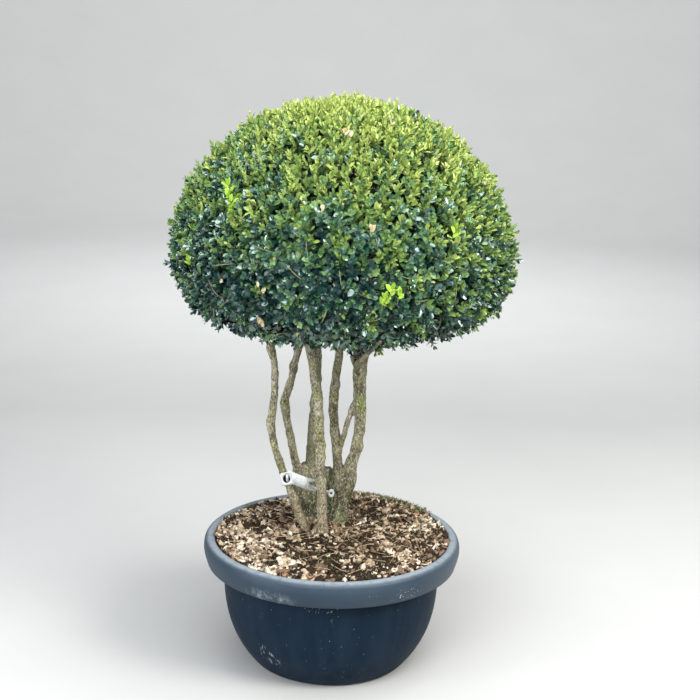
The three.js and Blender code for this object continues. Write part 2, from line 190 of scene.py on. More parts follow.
# Marks of wear on the pot: angle in degrees round it, radius there, height, and how far they reach
RIM_SCUFF = ((-117, 0.297, 0.252), (0.075, 0.060, 0.022))
RIM_SPECKS = ((-56, 0.298, 0.262), (0.055, 0.055, 0.022))
BAND_SPECKS = ((-96, 0.250, 0.225), (0.070, 0.050, 0.016))
SCRAPE = ((-126, 0.215, 0.085), (0.040, 0.040, 0.040))
# A mossy patch on the thickest stem, as polar like the marks above
STEM_MOSS = ((24, 0.074, 0.611), (0.026, 0.030, 0.030))
# Where the stem behind the front one lies in its shade
BACK_SHADE = ((120, 0.106, 0.500), (0.026, 0.022, 0.095))
# The thin branch's end, which lies in the crown's shade
BRANCH_SHADE = ((-72, 0.270, 0.825), (0.060, 0.200, 0.075))
# Painted shade on the bark behind the tag's slot, so that the slot shows dark
TAG_SHADE = ((178, 0.109, 0.436), (0.016, 0.030, 0.018))

# The stump's lobes and saddle: foot, head, the radius at each, and how high the head is
STUMP_LUMPS = [
    ((-0.056, 0.104), (-0.061, 0.093), 0.030, 0.028, 0.143),
    ((-0.072, 0.098), (-0.089, 0.084), 0.020, 0.011, 0.150),
    ((-0.044, 0.096), (-0.054, 0.093), 0.020, 0.016, 0.152),
    ((-0.034, 0.098), (-0.034, 0.094), 0.018, 0.013, 0.136),
    ((-0.022, 0.110), (-0.013, 0.101), 0.024, 0.015, 0.132),
    ((0.009, 0.094), (0.024, 0.086), 0.020, 0.025, 0.117),
    ((0.004, 0.090), (0.012, 0.083), 0.016, 0.013, 0.146),
    ((0.013, 0.090), (0.042, 0.080), 0.012, 0.018, 0.128),
    ((0.016, 0.088), (0.025, 0.081), 0.014, 0.013, 0.142),
    ((0.004, 0.058), (0.012, 0.078), 0.013, 0.017, 0.036),
    ((0.026, 0.060), (0.022, 0.078), 0.012, 0.015, 0.044),
    ((-0.044, -0.002), (-0.034, -0.004), 0.007, 0.006, 0.026),
]
# Swellings at the knees and feet of the stems: a place and a size
KNEES = [
    (-0.159, -0.014, 0.573, 0.012), (-0.136, 0.048, 0.603, 0.013), (-0.108, 0.055, 0.585, 0.009),
    (0.055, 0.068, 0.409, 0.013), (0.011, 0.068, 0.411, 0.011), (0.030, 0.066, 0.425, 0.009),
    (-0.022, -0.022, 0.520, 0.008), (0.080, 0.030, 0.655, 0.010), (-0.092, 0.076, 0.446, 0.009),
]
CLUMP_STEMS = ["stem_left", "stem_back", "stem_middle", "stem_right"]
FRONT_STEMS = ["stem_far_left", "stem_front"]
LIMB_SIDES = 20
BARK_VOXEL = 0.0018

# Tag: the way it lies as (x, y), and columns of (lower x, lower z, upper x, upper z) along its parts
TAG_PATH = [(-0.124, -0.0065), (-0.096, -0.0055), (-0.066, -0.003), (-0.044, 0.004), (-0.028, 0.0075),
            (-0.010, 0.008), (0.004, 0.011)]
TAG_THICKNESS = 0.0012
TAG_HEAD = [(-0.1190, 0.4170, -0.1255, 0.4475), (-0.0938, 0.4225, -0.0985, 0.4560)]
TAG_SLOT = (-0.1085, 0.4360)
TAG_SLOT_HALF = (0.0084, 0.0104)
TAG_EYE = (-0.0045, 0.3975)
TAG_EYE_HALF = (0.0075, 0.0105)
TAG_HOLE_HALF = (0.0028, 0.0028)
TAG_BANDS = {
    "tongue": [(-0.1093, 0.4300, -0.1107, 0.4500), (-0.1041, 0.4280, -0.1045, 0.4510)],
    "strip": [(-0.0938, 0.4225, -0.0980, 0.4540), (-0.0620, 0.4100, -0.0570, 0.4375)],
    "upper_end": [(-0.0590, 0.4255, -0.0570, 0.4375), (-0.0480, 0.4265, -0.0470, 0.4335),
                  (-0.0395, 0.4285, -0.0390, 0.4300)],
    "lower_end": [(-0.0620, 0.4100, -0.0590, 0.4265), (-0.0500, 0.4055, -0.0480, 0.4150),
                  (-0.0400, 0.4015, -0.0392, 0.4045)],
    "tail": [(-0.0600, 0.4150, -0.0590, 0.4215), (-0.0300, 0.4030, -0.0290, 0.4090),
             (-0.0130, 0.3985, -0.0110, 0.4045)],
}

# Floor: its flat part, and the sweep up into the wall
FLOOR_FLAT = 6.0
FLOOR_RISE = 3.0
FLOOR_SIDES = 96
FLOOR_STEPS = 16

# Soft panels: place, aim, size, power, colour, and how wide they shine in degrees
CROWN = tuple(CROWN_CENTRE)
LIGHTS = {
    "sky": ((0.4, -0.7, 4.6), CROWN, 4.5, 315, (0.97, 0.99, 1.0), 180),
    "sun_side": ((2.7, -1.9, 2.8), CROWN, 1.6, 152, (1.0, 0.97, 0.90), 180),
    "front_sky": ((-1.4, -3.9, 2.8), (0, 0, 0.8), 3.0, 175, (0.94, 0.97, 1.0), 180),
    # Narrowed, so that it draws no edge on the floor
    "low_left": ((-3.1, -1.65, 1.0), (0, 0, 0.40), 1.0, 11, (0.94, 0.97, 1.0), 85),
    "wall_wash": ((0.0, 3.2, 3.6), (0, 9, 1.6), 3.0, 260, (0.97, 0.99, 1.0), 180),
}
AIR_COLOUR = (0.90, 0.95, 1.0)
AIR_STRENGTH = 0.25

# Camera, as the photograph's own viewpoint
CAMERA_PLACE = (0.0308, -3.1318, POT_HEIGHT + 1.2422)
CAMERA_TILT = 14.255
CAMERA_ROLL = 1.5
CAMERA_LENS = 73.18
CAMERA_SENSOR = 36

# Small tools

def smooth_step(x):
    x = np.clip(x, 0.0, 1.0)
    return x * x * (3 - 2 * x)


def unit(v):
    return v / np.maximum(np.linalg.norm(v, axis=-1, keepdims=True), 1e-12)


def square_to(v, axis):
    """The way of v that stands square to an axis."""
    return unit(v - axis * np.sum(v * axis, axis=-1, keepdims=True))


def stacked(*parts):
    return np.stack(parts, axis=-1)


def full_turn(sides):
    return np.arange(sides) / sides * 2 * math.pi


def value_noise(points, seed):
    """Smooth noise in -1..1 on a unit lattice."""
    cell = np.floor(points).astype(np.int64)
    part = points - cell
    fade_in = part * part * (3 - 2 * part)
    total = np.zeros(len(points))
    for corner in np.ndindex(2, 2, 2):
        c = cell + corner
        h = (c[:, 0] * 374761393 + c[:, 1] * 668265263 + c[:, 2] * 2246822519 + seed * 974711)
        h = h & 0xFFFFFFFF
        h = ((h ^ (h >> 13)) * 1274126177) & 0xFFFFFFFF
        value = ((h ^ (h >> 16)) & 0xFFFF) / 32767.5 - 1
        total += np.prod(np.where(corner, fade_in, 1 - fade_in), axis=1) * value
    return total


def rough_noise(points, size, seed, octaves=3):
    """Noise of several sizes, the first one given, each next half as large and half as strong."""
    total = np.zeros(len(points))
    for k in range(octaves):
        total += value_noise(points / size * 2 ** k, seed + k) / 2 ** k
    return total


def ground_noise(x, y, size, seed, octaves):
    return rough_noise(stacked(x, y, 0 * x), size, seed, octaves)


def make_draw(seed):
    """Draws in 0..1, the same as the solids' source makes them."""
    state = seed

    def draw():
        nonlocal state
        state = (state * 1664525 + 1013904223) % 4294967296
        return state / 4294967296
    return draw


def grid_faces(rows, columns, closed=True):
    """Faces between rows of as many points; closed rows go all the way round."""
    i, j = np.meshgrid(np.arange(rows - 1), np.arange(columns if closed else columns - 1), indexing="ij")
    a = (i * columns + j).ravel()
    b = (i * columns + (j + 1) % columns).ravel()
    return stacked(a, b, b + columns, a + columns)


def halves(quads):
    """Two triangles for each quad."""
    return quads[:, [0, 1, 2, 0, 2, 3]].reshape(-1, 3)


def repeated(faces, count, size):
    """The faces of one shape for as many copies, each of so many points."""
    return (faces[None] + (np.arange(count) * size)[:, None, None]).reshape(-1, faces.shape[-1])


def turned_round(profile, sides):
    """Rows of points from a profile of (radius, height) that turns round the pot's axis."""
    turn = full_turn(sides)
    flat = profile[:, None, :1] * stacked(np.cos(turn), np.sin(turn))[None]
    height = np.broadcast_to(profile[:, None, 1:], (len(profile), sides, 1))
    return np.concatenate([flat, height], axis=-1).reshape(-1, 3)


def make_mesh(name, points, faces):
    """A mesh from arrays of points and of faces that all have as many corners."""
    faces = np.asarray(faces, np.int32)
    mesh = bpy.data.meshes.new(name)
    mesh.vertices.add(len(points))
    mesh.vertices.foreach_set("co", np.asarray(points, np.float32).ravel())
    mesh.loops.add(faces.size)
    mesh.loops.foreach_set("vertex_index", faces.ravel())
    mesh.polygons.add(len(faces))
    mesh.polygons.foreach_set("loop_start", np.arange(0, faces.size, faces.shape[1], dtype=np.int32))
    mesh.update(calc_edges=True)
    return mesh


def placed(name, data):
    """A new object in the scene that holds a mesh, a light or a camera."""
    made = bpy.data.objects.new(name, data)
    bpy.context.scene.collection.objects.link(made)
    return made


def add_mesh(name, points, faces, material, slot, smooth=True):
    """One piece of the plant, with its material; its slot is not used."""
    mesh = make_mesh(name, points, faces)
    if smooth:
        mesh.shade_smooth()
    mesh.materials.append(material)
    piece = placed(name, mesh)
    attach(piece, "root")
    return piece


def add_copies(name, shapes, faces, material, slot, smooth=True):
    """One piece from many shapes (count, points, 3) that share their faces."""
    faces = repeated(faces, *shapes.shape[:2])
    return add_mesh(name, shapes.reshape(-1, 3), faces, material, slot, smooth)


def tubes(lines, radii, sides):
    """Closed tubes along lines (n, k, 3) with radii (n, k), as points and triangles."""
    n, k, _ = lines.shape
    along = unit(np.gradient(lines, axis=1))
    whole = unit(lines[:, -1] - lines[:, 0])
    helper = np.where(np.abs(whole[:, 2:]) < 0.8, [[0.0, 0.0, 1.0]], [[1.0, 0.0, 0.0]])
    across = square_to(unit(np.cross(whole, helper))[:, None, :], along)
    beside = np.cross(along, across)
    turn = full_turn(sides)[:, None]
    ring = across[:, :, None] * np.cos(turn) + beside[:, :, None] * np.sin(turn)
    points = (lines[:, :, None] + ring * radii[:, :, None, None]).reshape(n, k * sides, 3)
    points = np.concatenate([points, lines[:, :1], lines[:, -1:]], axis=1)
    low, high, last = k * sides, k * sides + 1, (k - 1) * sides
    j = np.arange(sides)
    following = (j + 1) % sides
    caps = stacked(0 * j + low, following, j, 0 * j + high, last + j, last + following).reshape(-1, 3)
    faces = np.concatenate([halves(grid_faces(k, sides)), caps])
    return points.reshape(-1, 3), repeated(faces, n, points.shape[1])


def tapering(lines, wide, narrow, sides):
    """Tubes that taper along each of the lines, from one radius to another."""
    radii = np.linspace(wide, narrow, lines.shape[1])
    return tubes(lines, radii[None].repeat(len(lines), 0), sides)


def merged(parts):
    """Joins pairs of points and faces into one pair."""
    points, faces, start = [], [], 0
    for p, f in parts:
        points.append(p)
        faces.append(f + start)
        start += len(p)
    return np.concatenate(points), np.concatenate(faces)


# Materials

def fill(tree, made, values):
    """Sets a node's inputs and settings; a value that is a socket is linked."""
    for key, value in values.items():
        if key not in made.inputs:
            setattr(made, key, value)
        elif isinstance(value, bpy.types.NodeSocket):
            tree.links.new(value, made.inputs[key])
        else:
            made.inputs[key].default_value = value


def node(tree, kind, **values):
    made = tree.nodes.new("ShaderNode" + kind)
    fill(tree, made, values)
    return made


def new_material(name, colour, roughness, level=0.5):
    material = bpy.data.materials.new(name)
    material.use_nodes = True
    tree = material.node_tree
    shader = tree.nodes["Principled BSDF"]
    fill(tree, shader, {"Base Color": (*colour, 1), "Roughness": roughness, "Specular IOR Level": level})
    return material, tree, shader


def own_place(tree):
    """The object's own coordinates."""
    return node(tree, "TexCoord").outputs["Object"]


def noise(tree, scale, detail=4.0, rough=0.55, stretch=(1, 1, 1)):
    """Noise over the object's own place, drawn out along an axis by stretch."""
    place = node(tree, "Mapping", Vector=own_place(tree), Scale=stretch).outputs["Vector"]
    return node(tree, "TexNoise", Vector=place, Scale=scale, Detail=detail, Roughness=rough).outputs["Fac"]


def ramp(tree, value, stops):
    """Colours or greys over a value: stops are (position, colour)."""
    made = node(tree, "ValToRGB", Fac=value)
    elements = made.color_ramp.elements
    elements[0].position, elements[1].position = stops[0][0], stops[-1][0]
    for position, _ in stops[1:-1]:
        elements.new(position)
    for element, (_, colour) in zip(elements, stops):
        element.color = (colour, colour, colour, 1) if isinstance(colour, float) else (*colour, 1)
    return made.outputs["Color"]


def fade(tree, value, start, end, last=1.0, first=0.0):
    """A grey that goes from first to last while a value goes from start to end."""
    return ramp(tree, value, [(start, first), (end, last)])


def layered(tree, colour, layers):
    """A colour with others laid over it, each by its share: layers are (share, colour)."""
    for share, over in layers:
        made = node(tree, "Mix", data_type="RGBA", Factor=share)
        for value, socket in ((colour, made.inputs[6]), (over, made.inputs[7])):
            if isinstance(value, bpy.types.NodeSocket):
                tree.links.new(value, socket)
            else:
                socket.default_value = (*value, 1)
        colour = made.outputs[2]
    return colour


def bump(tree, height, strength, distance):
    return node(tree, "Bump", Height=height, Strength=strength, Distance=distance).outputs["Normal"]


def span(tree, value, low, high):
    """0 where a value is at low, and 1 where it is at high."""
    return node(tree, "MapRange", Value=value, **{"From Min": low, "From Max": high}).outputs["Result"]


def axis_share(tree, axis, low, high):
    """0 where the object's own place is at low along an axis, and 1 where it is at high."""
    return span(tree, node(tree, "SeparateXYZ", Vector=own_place(tree)).outputs[axis], low, high)


def spot(tree, mark):
    """1 in the middle of a mark and 0 where it ends, over the object's own place."""
    (angle, radius, height), reach = mark
    middle = (radius * math.cos(math.radians(angle)), radius * math.sin(math.radians(angle)), height)
    start = [-m / r for m, r in zip(middle, reach)]
    place = node(tree, "Mapping", Vector=own_place(tree), Location=start, Scale=[1 / r for r in reach])
    length = node(tree, "VectorMath", operation="LENGTH", Vector=place.outputs["Vector"])
    return span(tree, length.outputs["Value"], 1.0, 0.3)


def times(tree, first, second):
    made = node(tree, "Math", operation="MULTIPLY", Value=first)
    tree.links.new(second, made.inputs[1])
    return made.outputs["Value"]


def shades(colour, low, high):
    """A darker and a lighter shade of a colour."""
    return tuple(low * c for c in colour), tuple(min(1.0, high * c) for c in colour)


def pot_material():
    """Blue-grey plastic, lighter and dusty on the rim, with fine streaks, scuffs and specks; a painted
    shadow under the rim, a painted highlight along the lip and painted light on the rim's right side.
    """
    material, tree, shader = new_material("pot_plastic", (0.02, 0.03, 0.04), 0.42)
    streaks = noise(tree, 30, 5, 0.6, (1, 1, 0.10))
    clouds = noise(tree, 9, 6, 0.6)
    fine = noise(tree, 260, 2, 0.5)
    body = ramp(tree, streaks, [(0.35, (0.0050, 0.0135, 0.0265)), (0.70, (0.0105, 0.0225, 0.0385))])
    rim = ramp(tree, clouds, [(0.34, (0.017, 0.033, 0.053)), (0.70, (0.031, 0.051, 0.073))])
    # Painted light: the rim lighter towards its right side, where the light falls from
    right_side_light = fade(tree, axis_share(tree, "X", 0.20, 0.29), 0.0, 1.0, 0.6)
    rim = layered(tree, rim, [(right_side_light, (0.066, 0.088, 0.112))])
    # Painted shadow: a darker band on the collar just under the rim
    band = times(tree, axis_share(tree, "Z", COLLAR_FOOT - 0.001, COLLAR_FOOT + 0.001),
                 axis_share(tree, "Z", RIM_FOOT + 0.03, RIM_FOOT + 0.002))
    on_rim = axis_share(tree, "Z", RIM_FOOT - 0.004, RIM_FOOT + 0.004)
    # Painted highlight: the top of the lip lighter, in patches
    top = ramp(tree, axis_share(tree, "Z", POT_HEIGHT - 0.009, POT_HEIGHT - 0.0006),
               [(0.0, 0.0), (0.55, 0.15), (1.0, 1.0)])
    lip_highlight_patches = fade(tree, noise(tree, 60, 6, 0.7), 0.30, 0.50, 1.0, 0.5)
    smears = fade(tree, noise(tree, 70, 8, 0.75, (1, 1, 0.6)), 0.46, 0.66)
    scrapes = fade(tree, noise(tree, 95, 4, 0.6, (1.6, 1.6, 0.30)), 0.57, 0.63)
    specks = fade(tree, fine, 0.66, 0.69)
    colour = layered(tree, body, [
        (band, (0.0030, 0.0070, 0.0125)),
        (on_rim, rim),
        (times(tree, top, lip_highlight_patches), (0.235, 0.275, 0.310)),
        (times(tree, smears, spot(tree, RIM_SCUFF)), (0.260, 0.300, 0.320)),
        (times(tree, scrapes, spot(tree, SCRAPE)), (0.330, 0.350, 0.350)),
        (fade(tree, noise(tree, 48, 8, 0.72, (1, 1, 0.5)), 0.64, 0.76, 0.35), (0.14, 0.17, 0.19)),
        (times(tree, specks, spot(tree, RIM_SPECKS)), (0.62, 0.64, 0.62)),
        (times(tree, specks, spot(tree, BAND_SPECKS)), (0.62, 0.64, 0.62)),
        (fade(tree, fine, 0.755, 0.775, 0.9), (0.45, 0.48, 0.48)),
    ])
    fill(tree, shader, {
        "Base Color": colour,
        "Specular IOR Level": fade(tree, on_rim, 0.0, 1.0, 0.30, 0.06),
        "Roughness": fade(tree, clouds, 0.3, 0.7, 0.58, 0.45),
        "Normal": bump(tree, noise(tree, 420, 3, 0.6), 0.12, 0.0006),
    })
    return material


def grained(name, colour, finish, grain, stops, relief=None):
    """A material whose colour follows a noise, and its relief another; finish is (roughness, gloss)."""
    material, tree, shader = new_material(name, colour, *finish)
    fill(tree, shader, {"Base Color": ramp(tree, noise(tree, *grain), stops)})
    if relief:
        bumps, strength, distance = relief
        fill(tree, shader, {"Normal": bump(tree, noise(tree, *bumps), strength, distance)})
    return material


def soil_material():
    stops = [(0.30, (0.006, 0.005, 0.003)), (0.50, (0.030, 0.020, 0.012)), (0.72, (0.090, 0.063, 0.042))]
    relief = ((240, 6, 0.75), 0.9, 0.003)
    return grained("soil", (0.04, 0.025, 0.017), (0.95, 0.15), (160, 6, 0.7), stops, relief)


def chip_material(name, colour):
    """Wood or bark with its grain, a little lighter and darker from place to place."""
    dark, light = shades(colour, 0.55, 1.25)
    stops = [(0.34, dark), (0.5, colour), (0.68, light)]
    relief = ((500, 3, 0.6), 0.4, 0.001)
    return grained("chips_" + name, colour, (0.85, 0.15), (120, 5, 0.65), stops, relief)


def bark_material():
    """Grey-tan corky bark with flakes, pale flecks and dark pits, and moss towards the foot; painted shade
    behind the front stem, at the thin branch's end and behind the tag's slot.
    """
    material, tree, shader = new_material("bark", (0.25, 0.2, 0.13), 0.92, 0.2)
    broad = noise(tree, 55, 5, 0.6, (1, 1, 0.5))
    grit = noise(tree, 330, 4, 0.62, (1, 1, 0.5))
    bark = ramp(tree, broad, [(0.36, (0.102, 0.088, 0.054)), (0.50, (0.224, 0.203, 0.140)),
                              (0.64, (0.350, 0.322, 0.240))])
    foot_moss = ramp(tree, noise(tree, 90, 4, 0.6, (1, 1, 0.4)), [
        (0.38, (0.010, 0.012, 0.006)), (0.52, (0.058, 0.064, 0.029)), (0.64, (0.270, 0.270, 0.150))])
    low_down = fade(tree, axis_share(tree, "Z", SOIL_TOP + 0.15, SOIL_TOP + 0.04), 0.0, 1.0, 0.9)
    behind = fade(tree, axis_share(tree, "Y", 0.035, 0.075), 0.0, 1.0)
    lowest = fade(tree, axis_share(tree, "Z", SOIL_TOP + 0.13, SOIL_TOP + 0.02), 0.0, 1.0, 0.85)
    in_front = axis_share(tree, "Y", 0.045, 0.025)
    bark = layered(tree, bark, [
        (fade(tree, noise(tree, 30, 4, 0.6), 0.46, 0.66, 0.8), (0.225, 0.235, 0.095)),
        (times(tree, low_down, behind), foot_moss),
        (times(tree, lowest, in_front), (0.300, 0.230, 0.150)),
        (times(tree, spot(tree, STEM_MOSS), fade(tree, grit, 0.40, 0.52)), (0.190, 0.260, 0.060)),
        (fade(tree, grit, 0.56, 0.66, 0.95), (0.590, 0.552, 0.440)),
        (fade(tree, grit, 0.36, 0.47, 0.0, 0.97), (0.030, 0.026, 0.015)),
        (fade(tree, spot(tree, BACK_SHADE), 0.0, 0.5, 0.62), (0.070, 0.067, 0.035)),
        (fade(tree, spot(tree, BRANCH_SHADE), 0.0, 0.4, 0.72), (0.070, 0.058, 0.038)),
        # Painted shade: the bark behind the tag's slot made nearly black
        (fade(tree, spot(tree, TAG_SHADE), 0.0, 0.4), (0.006, 0.007, 0.008)),
    ])
    fill(tree, shader, {"Base Color": bark, "Normal": bump(tree, grit, 0.8, 0.0016)})
    return material


def leaf_material(name, colour, gloss):
    """Leathery and glossy on old leaves, softer on the new growth."""
    roughness, level = 0.50 - 0.22 * gloss, 0.15 + 0.85 * gloss
    material, tree, shader = new_material("leaves_" + name, colour, roughness, level)
    fill(tree, shader, {"IOR": 1.45 + 0.25 * gloss, "Specular Tint": (0.88, 0.98, 0.95, 1)})
    return material


def plain_material(name, colour, roughness, speck=0.25, scale=300):
    """A plain colour that varies a little over small distances."""
    low, high = shades(colour, 1 - speck, 1 + speck)
    return grained(name, colour, (roughness, 0.2), (scale,), [(0.35, low), (0.65, high)])


# Pot

def bowl_radius(height):
    depth = (RIM_FOOT - height) / RIM_FOOT
    return BOWL_RADIUS - (BOWL_RADIUS - BASE_RADIUS) * depth ** BOWL_POWER


def rounded(corners, steps=4):
    """A profile with its corners rounded: corners are (r, z, the round's size)."""
    corners = np.array(corners)
    profile = []
    for i, (*_, size) in enumerate(corners):
        here = corners[i, :2]
        if size == 0:
            profile.append(here)
            continue
        before, after = corners[i - 1, :2], corners[i + 1, :2]
        start = here + unit(before - here) * size
        end = here + unit(after - here) * size
        for t in np.linspace(0, 1, steps + 1):
            profile.append((1 - t) ** 2 * start + 2 * t * (1 - t) * here + t ** 2 * end)
    return np.array(profile)


def pot_profile():
    """Outside from the base's middle up over the rim, and back down inside to the floor."""
    top = POT_HEIGHT
    bowl = [(bowl_radius(z), z, 0) for z in np.linspace(0.006, COLLAR_FOOT - 0.0015, 26)]
    inner = [(bowl_radius(z) - POT_WALL, z, 0) for z in np.linspace(COLLAR_FOOT - 0.004, 0.010, 16)]
    return rounded([
        (0.0, 0.0, 0), (BASE_RADIUS - 0.006, 0.0, 0.004), *bowl,
        (bowl_radius(COLLAR_FOOT), COLLAR_FOOT + 0.0005, 0.001),
        (COLLAR_RADIUS, COLLAR_FOOT + 0.0015, 0.001),
        (COLLAR_RADIUS + 0.0005, RIM_FOOT, 0.002),
        (MOUTH_RADIUS - 0.010, top - 0.030, 0.006),
        (RIM_FOOT_RADIUS - 0.004, top - 0.030, 0.004),
        (RIM_FOOT_RADIUS - POT_WALL, RIM_FOOT, 0.0012),
        (RIM_FOOT_RADIUS, RIM_FOOT, 0.0015),
        (RIM_RADIUS - 0.0026, top - 0.037, 0.006),
        (RIM_RADIUS, top - 0.021, 0.007),
        (RIM_RADIUS - 0.0035, top - 0.006, 0.005),
        (RIM_RADIUS - 0.013, top, 0.005),
        (MOUTH_RADIUS, top, 0.004),
        (MOUTH_RADIUS - 0.003, top - 0.010, 0.003),
        (MOUTH_RADIUS - 0.014, top - 0.022, 0.004),
        (COLLAR_RADIUS - POT_WALL, RIM_FOOT, 0.003), *inner,
        (BASE_RADIUS - 0.008, 0.005, 0.002), (0.0, 0.005, 0),
    ])


def make_pot():
    profile = pot_profile()
    points = turned_round(profile, POT_SIDES)
    below_lip = np.hypot(points[:, 0], points[:, 1]) < RIM_RADIUS - 0.002
    lift = smooth_step((points[:, 2] - 0.05) / 0.1)
    dent = 1 + 0.0016 * rough_noise(points, 0.16, 7, 2) * lift * below_lip
    points[:, :2] *= dent[:, None]
    pot = add_mesh("pot_bowl", points, grid_faces(len(profile), POT_SIDES), pot_material(), "pot_plastic")
    clean(pot)
    cut_drains(pot)
    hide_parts("pot")


def clean(piece):
    """Joins points that lie on one another and drops the faces that this collapses."""
    held = bmesh.new()
    held.from_mesh(piece.data)
    bmesh.ops.remove_doubles(held, verts=held.verts, dist=1e-6)
    bmesh.ops.dissolve_degenerate(held, edges=held.edges, dist=1e-7)
    bmesh.ops.recalc_face_normals(held, faces=held.faces)
    held.to_mesh(piece.data)
    held.free()


def apply_modifiers(piece):
    graph = bpy.context.evaluated_depsgraph_get()
    mesh = bpy.data.meshes.new_from_object(piece.evaluated_get(graph))
    piece.modifiers.clear()
    old = piece.data
    piece.data = mesh
    bpy.data.meshes.remove(old)


def cut_drains(pot):
    """Round holes through the pot's floor."""
    lines = []
    for i in range(DRAIN_COUNT):
        angle = (i + 0.5) / DRAIN_COUNT * 2 * math.pi
        x, y = DRAIN_CIRCLE * math.cos(angle), DRAIN_CIRCLE * math.sin(angle)
        lines.append([(x, y, -0.01), (x, y, 0.02)])
    points, faces = tapering(np.array(lines), DRAIN_RADIUS, DRAIN_RADIUS, 24)
    cutter = placed("drain_cutter", make_mesh("drain_cutter", points, faces))
    modifier = pot.modifiers.new("drains", "BOOLEAN")
    modifier.operation = "DIFFERENCE"
    modifier.solver = "EXACT"
    modifier.object = cutter
    apply_modifiers(pot)
    bpy.data.objects.remove(cutter)


# Soil, chips, straws and moss

def within(angle, start, rise, end, fall):
    """1 between two angles and 0 past them, with so many degrees to rise and to fall."""
    return smooth_step((angle - start) / rise) * smooth_step((end - angle) / fall)


def heap_share(x, y):
    """1 on the mossy heap that lies over the rim at the back right, 0 away from it."""
    return within(np.degrees(np.arctan2(y, x)), HEAP_START, 22, HEAP_END, 18)


def ridge_share(x, y):
    """1 along the heap's outer ridge, where moss covers it."""
    return heap_share(x, y) * smooth_step((np.hypot(x, y) - 0.228) / 0.030)


def soil_height(x, y):
    """The soil's surface: level round the stems, a little lower at the rim, heaped at the back right."""
    radius = np.hypot(x, y)
    start = SOIL_LEVEL_RADIUS * 0.8
    height = SOIL_LEVEL - (SOIL_LEVEL - SOIL_EDGE) * smooth_step((radius - start) / (SOIL_RADIUS - start))
    return height + 0.012 * heap_share(x, y) * smooth_step((radius - 0.15) / 0.10)


def make_heap(material):
    """The part of the heap that lies on the rim's lip."""
    rows, columns = 14, 90
    radius = np.linspace(SOIL_RADIUS - 0.030, HEAP_REACH, rows)[:, None]
    angle = np.radians(np.linspace(HEAP_START + 2, HEAP_END - 2, columns))
    x, y = (radius * np.cos(angle)).ravel(), (radius * np.sin(angle)).ravel()
    r = np.hypot(x, y)
    inside = np.minimum(r, SOIL_RADIUS)
    z = soil_height(x * inside / r, y * inside / r) - 0.001
    bumps = 0.0016 * rough_noise(stacked(x, y, z), 0.016, 12, 3)
    edge = smooth_step((HEAP_REACH - r) / 0.007)
    lip = POT_HEIGHT - 0.003 + (0.0075 + bumps) * heap_share(x, y) * edge
    z = np.where(r > SOIL_RADIUS - 0.012, np.maximum(lip, z - 0.004), z + bumps - 0.0015)
    faces = grid_faces(rows, columns, closed=False)[:, [0, 3, 2, 1]]
    add_mesh("soil_heap", stacked(x, y, z), faces, material, "bark_mulch")


def make_soil(material):
    """A closed shell: the uneven surface, a wall that draws in as it goes down, and a cap below."""
    radius = np.linspace(0, SOIL_RADIUS - 0.0005, SOIL_RINGS)
    flat = turned_round(stacked(radius, 0 * radius), SOIL_SIDES)
    x, y = flat[:, 0], flat[:, 1]
    flat[:, 2] = soil_height(x, y)
    bumps = 0.0022 * rough_noise(flat, 0.018, 11, 4)
    flat[:, 2] += bumps * smooth_step((SOIL_RADIUS - np.hypot(x, y)) / 0.006)
    rows = [flat]
    for depth, inset in ((0.02, 0.012), (SOIL_DEPTH, 0.030)):
        lower = flat[-SOIL_SIDES:].copy()
        lower[:, :2] *= 1 - inset / SOIL_RADIUS
        lower[:, 2] = SOIL_EDGE - depth
        rows.append(lower)
    points = np.concatenate([*rows, [[0.0, 0.0, SOIL_EDGE - SOIL_DEPTH]]])
    last = np.arange(SOIL_SIDES) + (SOIL_RINGS + 1) * SOIL_SIDES
    middle = np.full(SOIL_SIDES, len(points) - 1)
    cap = stacked(last, np.roll(last, -1), middle, middle)
    faces = np.concatenate([grid_faces(SOIL_RINGS + 2, SOIL_SIDES), cap])
    soil = add_mesh("soil_bed", points, faces, material, "bark_mulch")
    clean(soil)
    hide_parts("soil")


def disc_places(count, radius):
    """Places spread evenly over a disc, nudged at random."""
    i = np.arange(count)
    r = radius * np.sqrt((i + 0.5) / count)
    angle = i * GOLDEN_ANGLE
    x = r * np.cos(angle) + random.normal(0, 0.004, count)
    y = r * np.sin(angle) + random.normal(0, 0.004, count)
    shrink = np.minimum(1, radius / np.maximum(np.hypot(x, y), 1e-9))
    return x * shrink, y * shrink


def turn_all(local, yaw, tilt, roll):
    """Turns each set of points by roll about X, tilt about Y and yaw about Z."""
    x, y, z = local[..., 0], local[..., 1], local[..., 2]
    c, s = np.cos(roll)[:, None], np.sin(roll)[:, None]
    y, z = y * c - z * s, y * s + z * c
    c, s = np.cos(tilt)[:, None], np.sin(tilt)[:, None]
    x, z = x * c + z * s, -x * s + z * c
    c, s = np.cos(yaw)[:, None], np.sin(yaw)[:, None]
    return stacked(x * c - y * s, x * s + y * c, z)


def chip_shapes(lengths, widths, thicknesses, x, y, lift):
    """Bent, uneven chips of twenty corners: points (count, 20, 3) and the faces of one chip."""
    count = len(x)
    station = np.repeat([-0.5, -0.3, 0.05, 0.33, 0.5], 4)
    taper = np.repeat([0.45, 0.88, 1.0, 0.80, 0.35], 4)
    side = np.tile([-0.5, 0.5, 0.5, -0.5], 5)
    top = np.tile([-0.5, -0.5, 0.5, 0.5], 5)
    local = stacked(station * lengths[:, None], side * taper * widths[:, None], top * thicknesses[:, None])
    local += random.normal(0, 0.10, local.shape) * stacked(widths, widths, thicknesses * 1.5)[:, None]
    curl = random.uniform(-0.3, 1.3, count)[:, None]
    local[:, :, 2] += curl * lengths[:, None] * (station ** 2 - 0.08)
    yaw = random.uniform(0, 2 * math.pi, count)
    tilt = random.normal(0, 0.42, count)
    roll = random.normal(0, 0.5, count)
    middle = stacked(x, y, soil_height(x, y) + lift)
    ends = [(3, 2, 1, 0), (16, 17, 18, 19)]
    return turn_all(local, yaw, tilt, roll) + middle[:, None], np.concatenate([grid_faces(5, 4), ends])


